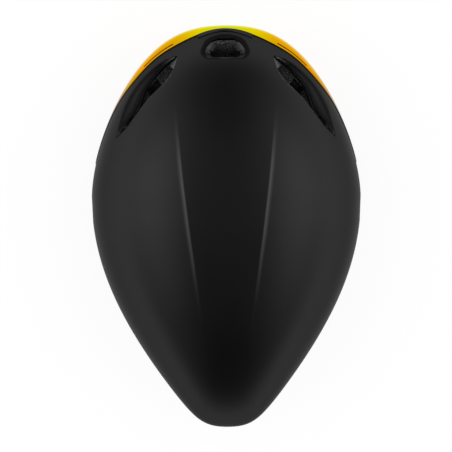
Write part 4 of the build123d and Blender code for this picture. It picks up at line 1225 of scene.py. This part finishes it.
def make_pads():
    long_steps = (64, 22)
    half_turn = math.asin(0.62 / math.sqrt(1 - ((BROW_PAD_Z - HEAD_BASE) / HEAD[2]) ** 2))
    cushion("brow_cushion", wall_place(0, BROW_PAD_Z, half_turn, 9.4), PAD_DEPTH, (49, 9.4), "helmet", "brow_pad",
            long_steps, 3)
    for side, name in SIDES:
        cushion(name + "_crown_cushion", crown_place(side * 32, 10.2, 52), PAD_DEPTH, (54, 10.2), "helmet",
                name + "_crown_pad", long_steps, 3)
        temple = wall_place(side * math.pi / 2 * 0.985, 78, side * 0.27, 9.3)
        cushion(name + "_temple_cushion", temple, PAD_DEPTH, (27, 9.3), "helmet", name + "_temple_pad", (44, 22), 1)
        middle, half = middle_and_half(name + "_ear_pad")
        cushion(name + "_ear_cushion", ear_place(side, middle, half), 7.2, (half.y, half.z), "helmet",
                name + "_ear_pad", (48, 20))
        middle, half = middle_and_half(name + "_nape_pad")
        cushion(name + "_nape_cushion", nape_place(middle, half), 2 * half.y, (half.x, half.z), "cradle",
                name + "_nape_pad", (26, 28))
    make_chin_cushion()
    swell_cushions()


# Straps and stitches

def strap(name, line, up, width, node, bend=None):
    """A woven strap along a line of points, with its width along up and rounded edges."""
    line = np.array(line, float)
    run = unit_rows(np.gradient(line, axis=0))
    up = np.array(up, float)
    up = unit_rows(up - run * (run @ up)[:, None])
    face = np.cross(run, up)
    across = np.r_[np.linspace(-1, 1, 9), np.linspace(1, -1, 9)]
    bulge = np.where(np.abs(across) > 0.99, 0.35, np.where(np.abs(across) > 0.7, 1.0, 0.86))
    thick = np.repeat((1, -1), 9) * bulge
    rings = [middle + np.outer(across * width / 2, u) + np.outer(thick * WEB_WALL / 2, n)
             for middle, u, n in zip(line, up, face)]
    mesh = tube_mesh(name, rings)
    length_so_far = np.r_[0, np.cumsum(np.linalg.norm(np.diff(line, axis=0), axis=1))]
    index = np.array([loop.vertex_index for loop in mesh.loops])
    flat = np.stack([across[index % len(across)] * width / 2, length_so_far[index // len(across)]], -1) * MM
    mesh.uv_layers.new(name="cloth").data.foreach_set("uv", flat.ravel())
    piece = add_piece(name, mesh, "webbing", None if bend else "helmet", [node])
    if bend:
        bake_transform(piece)


def chin_line(side, end_x):
    """From the ear, round the corner of the jaw and along the chin to end_x."""
    corner_x, corner_y = WEB_PLANE - CHIN_RADIUS, CHIN_Y + CHIN_RADIUS
    start = [(WEB_PLANE, y) for y in np.linspace(WIDEST_Y - 11.4, corner_y + 2, 12)]
    bend = [(corner_x + CHIN_RADIUS * math.cos(t), corner_y - CHIN_RADIUS * math.sin(t))
            for t in np.linspace(0, math.pi / 2, 22)]
    front = [(x, CHIN_Y) for x in np.linspace(corner_x - 2, end_x, 36)]
    return [(side * x, y, WEB_MIDDLE) for x, y in start + bend + front]


def side_web(top_y, foot_y, share):
    """Place along Y and height at a share of the way down a side strap."""
    return top_y + (foot_y - top_y) * share, 34.4 - 15.8 * share


def make_straps():
    width, upright = WEB_HIGH - WEB_LOW, (0, 0, 1)
    for side, name in SIDES:
        for part, ends in SIDE_WEBS.items():
            line = [(side * WEB_PLANE, *side_web(*ends, share)) for share in np.linspace(0, 1, 14)]
            strap(f"{name}_{part}_strap", line, (0, 1, 0), 13.0, f"{name}_{part}_web")
    strap("left_chin_strap", chin_line(1, 12.8), upright, width, "left_chin_web", TONGUE_BEND)
    strap("right_chin_strap", chin_line(-1, 16.8), upright, width, "right_chin_web")
    tail = [(x, CHIN_Y - 1.9 - 0.15 * math.sin((x - 18.3) / 30 * math.pi), WEB_MIDDLE)
            for x in np.linspace(18.4, 48.2, 34)]
    strap("tail_strap", tail, upright, width, "strap_tail", TONGUE_BEND)


def stitch_tree():
    """Geometry nodes that lay short thread capsules along every path of the mesh."""
    tree = bpy.data.node_groups.new("stitch_runs", "GeometryNodeTree")

    def outside(name, in_out, kind):
        return tree.interface.new_socket(name, in_out=in_out, socket_type="NodeSocket" + kind)

    outside("Geometry", "INPUT", "Geometry")
    outside("Geometry", "OUTPUT", "Geometry")
    outside("Thread", "INPUT", "Material")
    for name, value in (("Pitch", 0.003), ("Thread radius", 0.00035), ("Stitch length", 0.0021)):
        outside(name, "INPUT", "Float").default_value = value
    given, curve, dots, capsule, laid, real, painted, result = (tree.nodes.new(kind) for kind in (
        "NodeGroupInput", "GeometryNodeMeshToCurve", "GeometryNodeCurveToPoints", "GeometryNodeMeshCylinder",
        "GeometryNodeInstanceOnPoints", "GeometryNodeRealizeInstances", "GeometryNodeSetMaterial",
        "NodeGroupOutput"))
    dots.mode = "LENGTH"
    capsule.inputs["Vertices"].default_value = 6
    for source, out, target, into in (
            (given, "Geometry", curve, "Mesh"), (curve, "Curve", dots, "Curve"), (given, "Pitch", dots, "Length"),
            (given, "Thread radius", capsule, "Radius"), (given, "Stitch length", capsule, "Depth"),
            (dots, "Points", laid, "Points"), (dots, "Rotation", laid, "Rotation"),
            (capsule, "Mesh", laid, "Instance"), (laid, "Instances", real, "Geometry"),
            (real, "Geometry", painted, "Geometry"), (given, "Thread", painted, "Material"),
            (painted, "Geometry", result, "Geometry")):
        tree.links.new(source.outputs[out], target.inputs[into])
    return tree


def stitches(name, runs, body):
    """Rows of stitches along the given lines of points, as one plain mesh."""
    count = len(runs[0])
    paths = bpy.data.meshes.new(name + "_paths")
    paths.from_pydata((np.concatenate(runs) * MM).tolist(),
                      [(k, k + 1) for k in range(len(runs) * count) if (k + 1) % count], [])
    sewn = bpy.data.objects.new(name + "_paths", paths)
    bpy.context.scene.collection.objects.link(sewn)
    tree = stitch_tree()
    modifier = sewn.modifiers.new("stitches", "NODES")
    modifier.node_group = tree
    inputs = {s.name: s.identifier for s in tree.interface.items_tree if s.in_out == "INPUT"}
    modifier[inputs["Pitch"]] = sizes().stitch_pitch
    modifier[inputs["Thread"]] = finish("thread")
    graph = bpy.context.evaluated_depsgraph_get()
    mesh = bpy.data.meshes.new_from_object(sewn.evaluated_get(graph))
    bpy.data.objects.remove(sewn)
    bpy.data.meshes.remove(paths)
    mesh.name = name
    add_piece(name, mesh, "thread", body)


def make_stitches():
    """Sews the side straps at their anchors and dividers, and the chin straps at the ears."""
    runs = []
    for side in (1, -1):
        both = [side * WEB_PLANE + out for out in (-SEWN_FACE, SEWN_FACE)]
        for ends in SIDE_WEBS.values():
            for y, z in (side_web(*ends, share) for share in (0.06, 0.2, 0.88)):
                runs += [[(x, y - 5.4, z), (x, y + 5.4, z)] for x in both]
        for y in (WIDEST_Y - 18, WIDEST_Y - 21):
            runs += [[(x, y, WEB_LOW + 1.2), (x, y, WEB_HIGH - 1.2)] for x in both]
    stitches("strap_stitches", runs, "helmet")


# Fittings and studio

CAD_FINISHES = {
    "shell_black": ["tail_panel", "brow_trim"],
    "eps_foam": ["foam_liner"],
    "black_plastic": ["visor_seat", "exhaust_grille", "height_track", "SIDE_temple_socket", "SIDE_front_anchor",
                      "SIDE_rear_anchor", "SIDE_strap_divider", "SIDE_cam_lever", "buckle_base", "buckle_tongue"],
    "magnet_steel": ["seat_magnets", "visor_magnets", "buckle_magnet"],
    "band_nylon": ["cradle_yoke", "yoke_cover", "SIDE_band_arm", "SIDE_temple_pin", "dial_pinion"],
    "dial_rubber": ["dial_knob", "strap_keeper"],
    "steel": ["yoke_screws", "detent_spring", "SIDE_lever_pin"],
}


def paint_fittings():
    for look, patterns in CAD_FINISHES.items():
        for node in sorted({pattern.replace("SIDE", name) for pattern in patterns for _, name in SIDES}):
            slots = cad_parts[node].data.materials
            slots.clear()
            slots.append(finish(look))


def studio_world(levels):
    """White to the camera, plain light on all surfaces, and a shaped gradient in what mirrors it."""
    world = Finish("studio", world=True)
    direction = world.node("ShaderNodeTexCoord")["Generated"]
    x, y, _ = world.parts(world.node("ShaderNodeVectorMath", {"operation": "NORMALIZE"}, {0: direction})[0])
    front = (-y).between(0.0, 0.55)
    side = abs(x).between(0.06, 0.58) * (1 - y.between(-0.1, 0.45) * 0.95) * (1 - front * 0.6)
    top = (1 - y.between(0.0, 0.7) * 0.7) * (1 - front) * levels.overhead
    path = world.node("ShaderNodeLightPath")
    glossy = path["Is Glossy Ray"]
    lit = (top + side * (levels.sides - levels.overhead)) * glossy + (1 - glossy) * levels.room
    strength = path["Is Camera Ray"].most(lit)
    background = world.node("ShaderNodeBackground", None, {"Color": (1.0, 1.0, 1.0), "Strength": strength})
    return world.output(background[0], "World")


def paper_floor():
    """A pale floor that looks as white as the room to the camera and in mirrors."""
    f = Finish("paper_floor")
    path = f.node("ShaderNodeLightPath")
    seen = path["Is Camera Ray"].most(path["Is Glossy Ray"].most(path["Is Transmission Ray"]))
    paper = f.node("ShaderNodeBsdfDiffuse", None, {"Color": (0.82, 0.82, 0.82)})[0]
    glow = f.node("ShaderNodeEmission", None, {"Color": (1.0, 1.0, 1.0), "Strength": 1.1})[0]
    mesh = bpy.data.meshes.new("floor")
    far = FLOOR_REACH
    mesh.from_pydata([(-far, -far, 0), (far, -far, 0), (far, far, 0), (-far, far, 0)], [], [(0, 1, 2, 3)])
    mesh.materials.append(f.output(f.blend(seen * 0.8, paper, glow)))
    return bpy.data.objects.new("floor", mesh)


def softbox(side, name, power):
    lamp = bpy.data.lights.new("softbox_" + name, "AREA")
    lamp.shape, lamp.size, lamp.size_y, lamp.energy = "RECTANGLE", 1.0, 2.0, power
    box = bpy.data.objects.new(lamp.name, lamp)
    box.location = (side * SOFTBOX_OUT, 0, SOFTBOX_HEIGHT)
    box.rotation_euler = (0, side * math.atan2(SOFTBOX_OUT, SOFTBOX_HEIGHT - SOFTBOX_AIM), 0)
    return box


def top_camera(levels):
    """Looks straight down, and takes in frame_width at the height of the helmet's widest outline."""
    lens = bpy.data.cameras.new("camera")
    lens.sensor_width = 36
    lens.lens = lens.sensor_width * (levels.camera_distance - OUTLINE_HEIGHT) / levels.frame_width
    lens.clip_end = 100
    camera = bpy.data.objects.new("camera", lens)
    camera.location = (*CAMERA_SHIFT, levels.camera_distance)
    camera.rotation_euler = (0, 0, levels.camera_turn)
    return camera


def set_stage():
    scene = bpy.context.scene
    levels = scene.studio_levels
    scene.view_settings.view_transform = "Standard"
    scene.world = studio_world(levels)
    floor, camera = paper_floor(), top_camera(levels)
    for thing in (floor, *(softbox(side, name, levels.softbox) for side, name in SIDES), camera):
        scene.collection.objects.link(thing)
    scene.camera = camera


# The add-on

class HELMET_OT_shell(bpy.types.Operator):
    """Makes the matt shell with its raised spine and vents."""

    bl_idname = "helmet.shell"
    bl_label = "Shell"

    def execute(self, context):
        make_shell()
        return {"FINISHED"}


class HELMET_OT_visor(bpy.types.Operator):
    """Makes the mirror visor with its two slots."""

    bl_idname = "helmet.visor"
    bl_label = "Visor"

    def execute(self, context):
        make_visor()
        return {"FINISHED"}


class HELMET_OT_scoops(bpy.types.Operator):
    """Makes the smooth floors of the side vents."""

    bl_idname = "helmet.scoops"
    bl_label = "Vent scoops"

    def execute(self, context):
        make_scoops()
        return {"FINISHED"}


class HELMET_OT_linings(bpy.types.Operator):
    """Makes the smooth foam at the mouths of the vents."""

    bl_idname = "helmet.linings"
    bl_label = "Vent linings"

    def execute(self, context):
        make_linings()
        return {"FINISHED"}


class HELMET_OT_pads(bpy.types.Operator):
    """Makes the fabric pads."""

    bl_idname = "helmet.pads"
    bl_label = "Pads"

    def execute(self, context):
        make_pads()
        return {"FINISHED"}


class HELMET_OT_straps(bpy.types.Operator):
    """Makes the woven straps."""

    bl_idname = "helmet.straps"
    bl_label = "Straps"

    def execute(self, context):
        make_straps()
        return {"FINISHED"}


class HELMET_OT_stitches(bpy.types.Operator):
    """Sews the straps."""

    bl_idname = "helmet.stitches"
    bl_label = "Stitches"

    def execute(self, context):
        make_stitches()
        return {"FINISHED"}


class HELMET_OT_fittings(bpy.types.Operator):
    """Gives the moulded and metal fittings their finishes."""

    bl_idname = "helmet.fittings"
    bl_label = "Fittings"

    def execute(self, context):
        paint_fittings()
        return {"FINISHED"}


class HELMET_OT_stage(bpy.types.Operator):
    """Sets the floor, lights and camera."""

    bl_idname = "helmet.stage"
    bl_label = "Studio"

    def execute(self, context):
        set_stage()
        return {"FINISHED"}


OPERATORS = (HELMET_OT_shell, HELMET_OT_visor, HELMET_OT_scoops, HELMET_OT_linings, HELMET_OT_pads,
             HELMET_OT_straps, HELMET_OT_stitches, HELMET_OT_fittings, HELMET_OT_stage)


class HELMET_PT_tools(bpy.types.Panel):
    """Lists the helmet's operators and settings."""

    bl_label = "Helmet"
    bl_idname = "HELMET_PT_tools"
    bl_space_type = "VIEW_3D"
    bl_region_type = "UI"
    bl_category = "Helmet"

    def draw(self, context):
        for kind in OPERATORS:
            self.layout.operator(kind.bl_idname)
        for settings in SETTINGS:
            group = getattr(context.scene, settings)
            for name in group.__annotations__:
                self.layout.prop(group, name)


SETTINGS = {"helmet_sizes": HelmetSizes, "helmet_colours": HelmetColours, "studio_levels": StudioLevels}
CLASSES = (*SETTINGS.values(), *OPERATORS, HELMET_PT_tools)


def register():
    for kind in CLASSES:
        bpy.utils.register_class(kind)
    for name, kind in SETTINGS.items():
        setattr(bpy.types.Scene, name, bpy.props.PointerProperty(type=kind))


def unregister():
    for name in SETTINGS:
        delattr(bpy.types.Scene, name)
    for kind in reversed(CLASSES):
        bpy.utils.unregister_class(kind)


def main():
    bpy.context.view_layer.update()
    register()
    for kind in OPERATORS:
        group, name = kind.bl_idname.split(".")
        getattr(getattr(bpy.ops, group), name)()


if __name__ == "__main__":
    main()
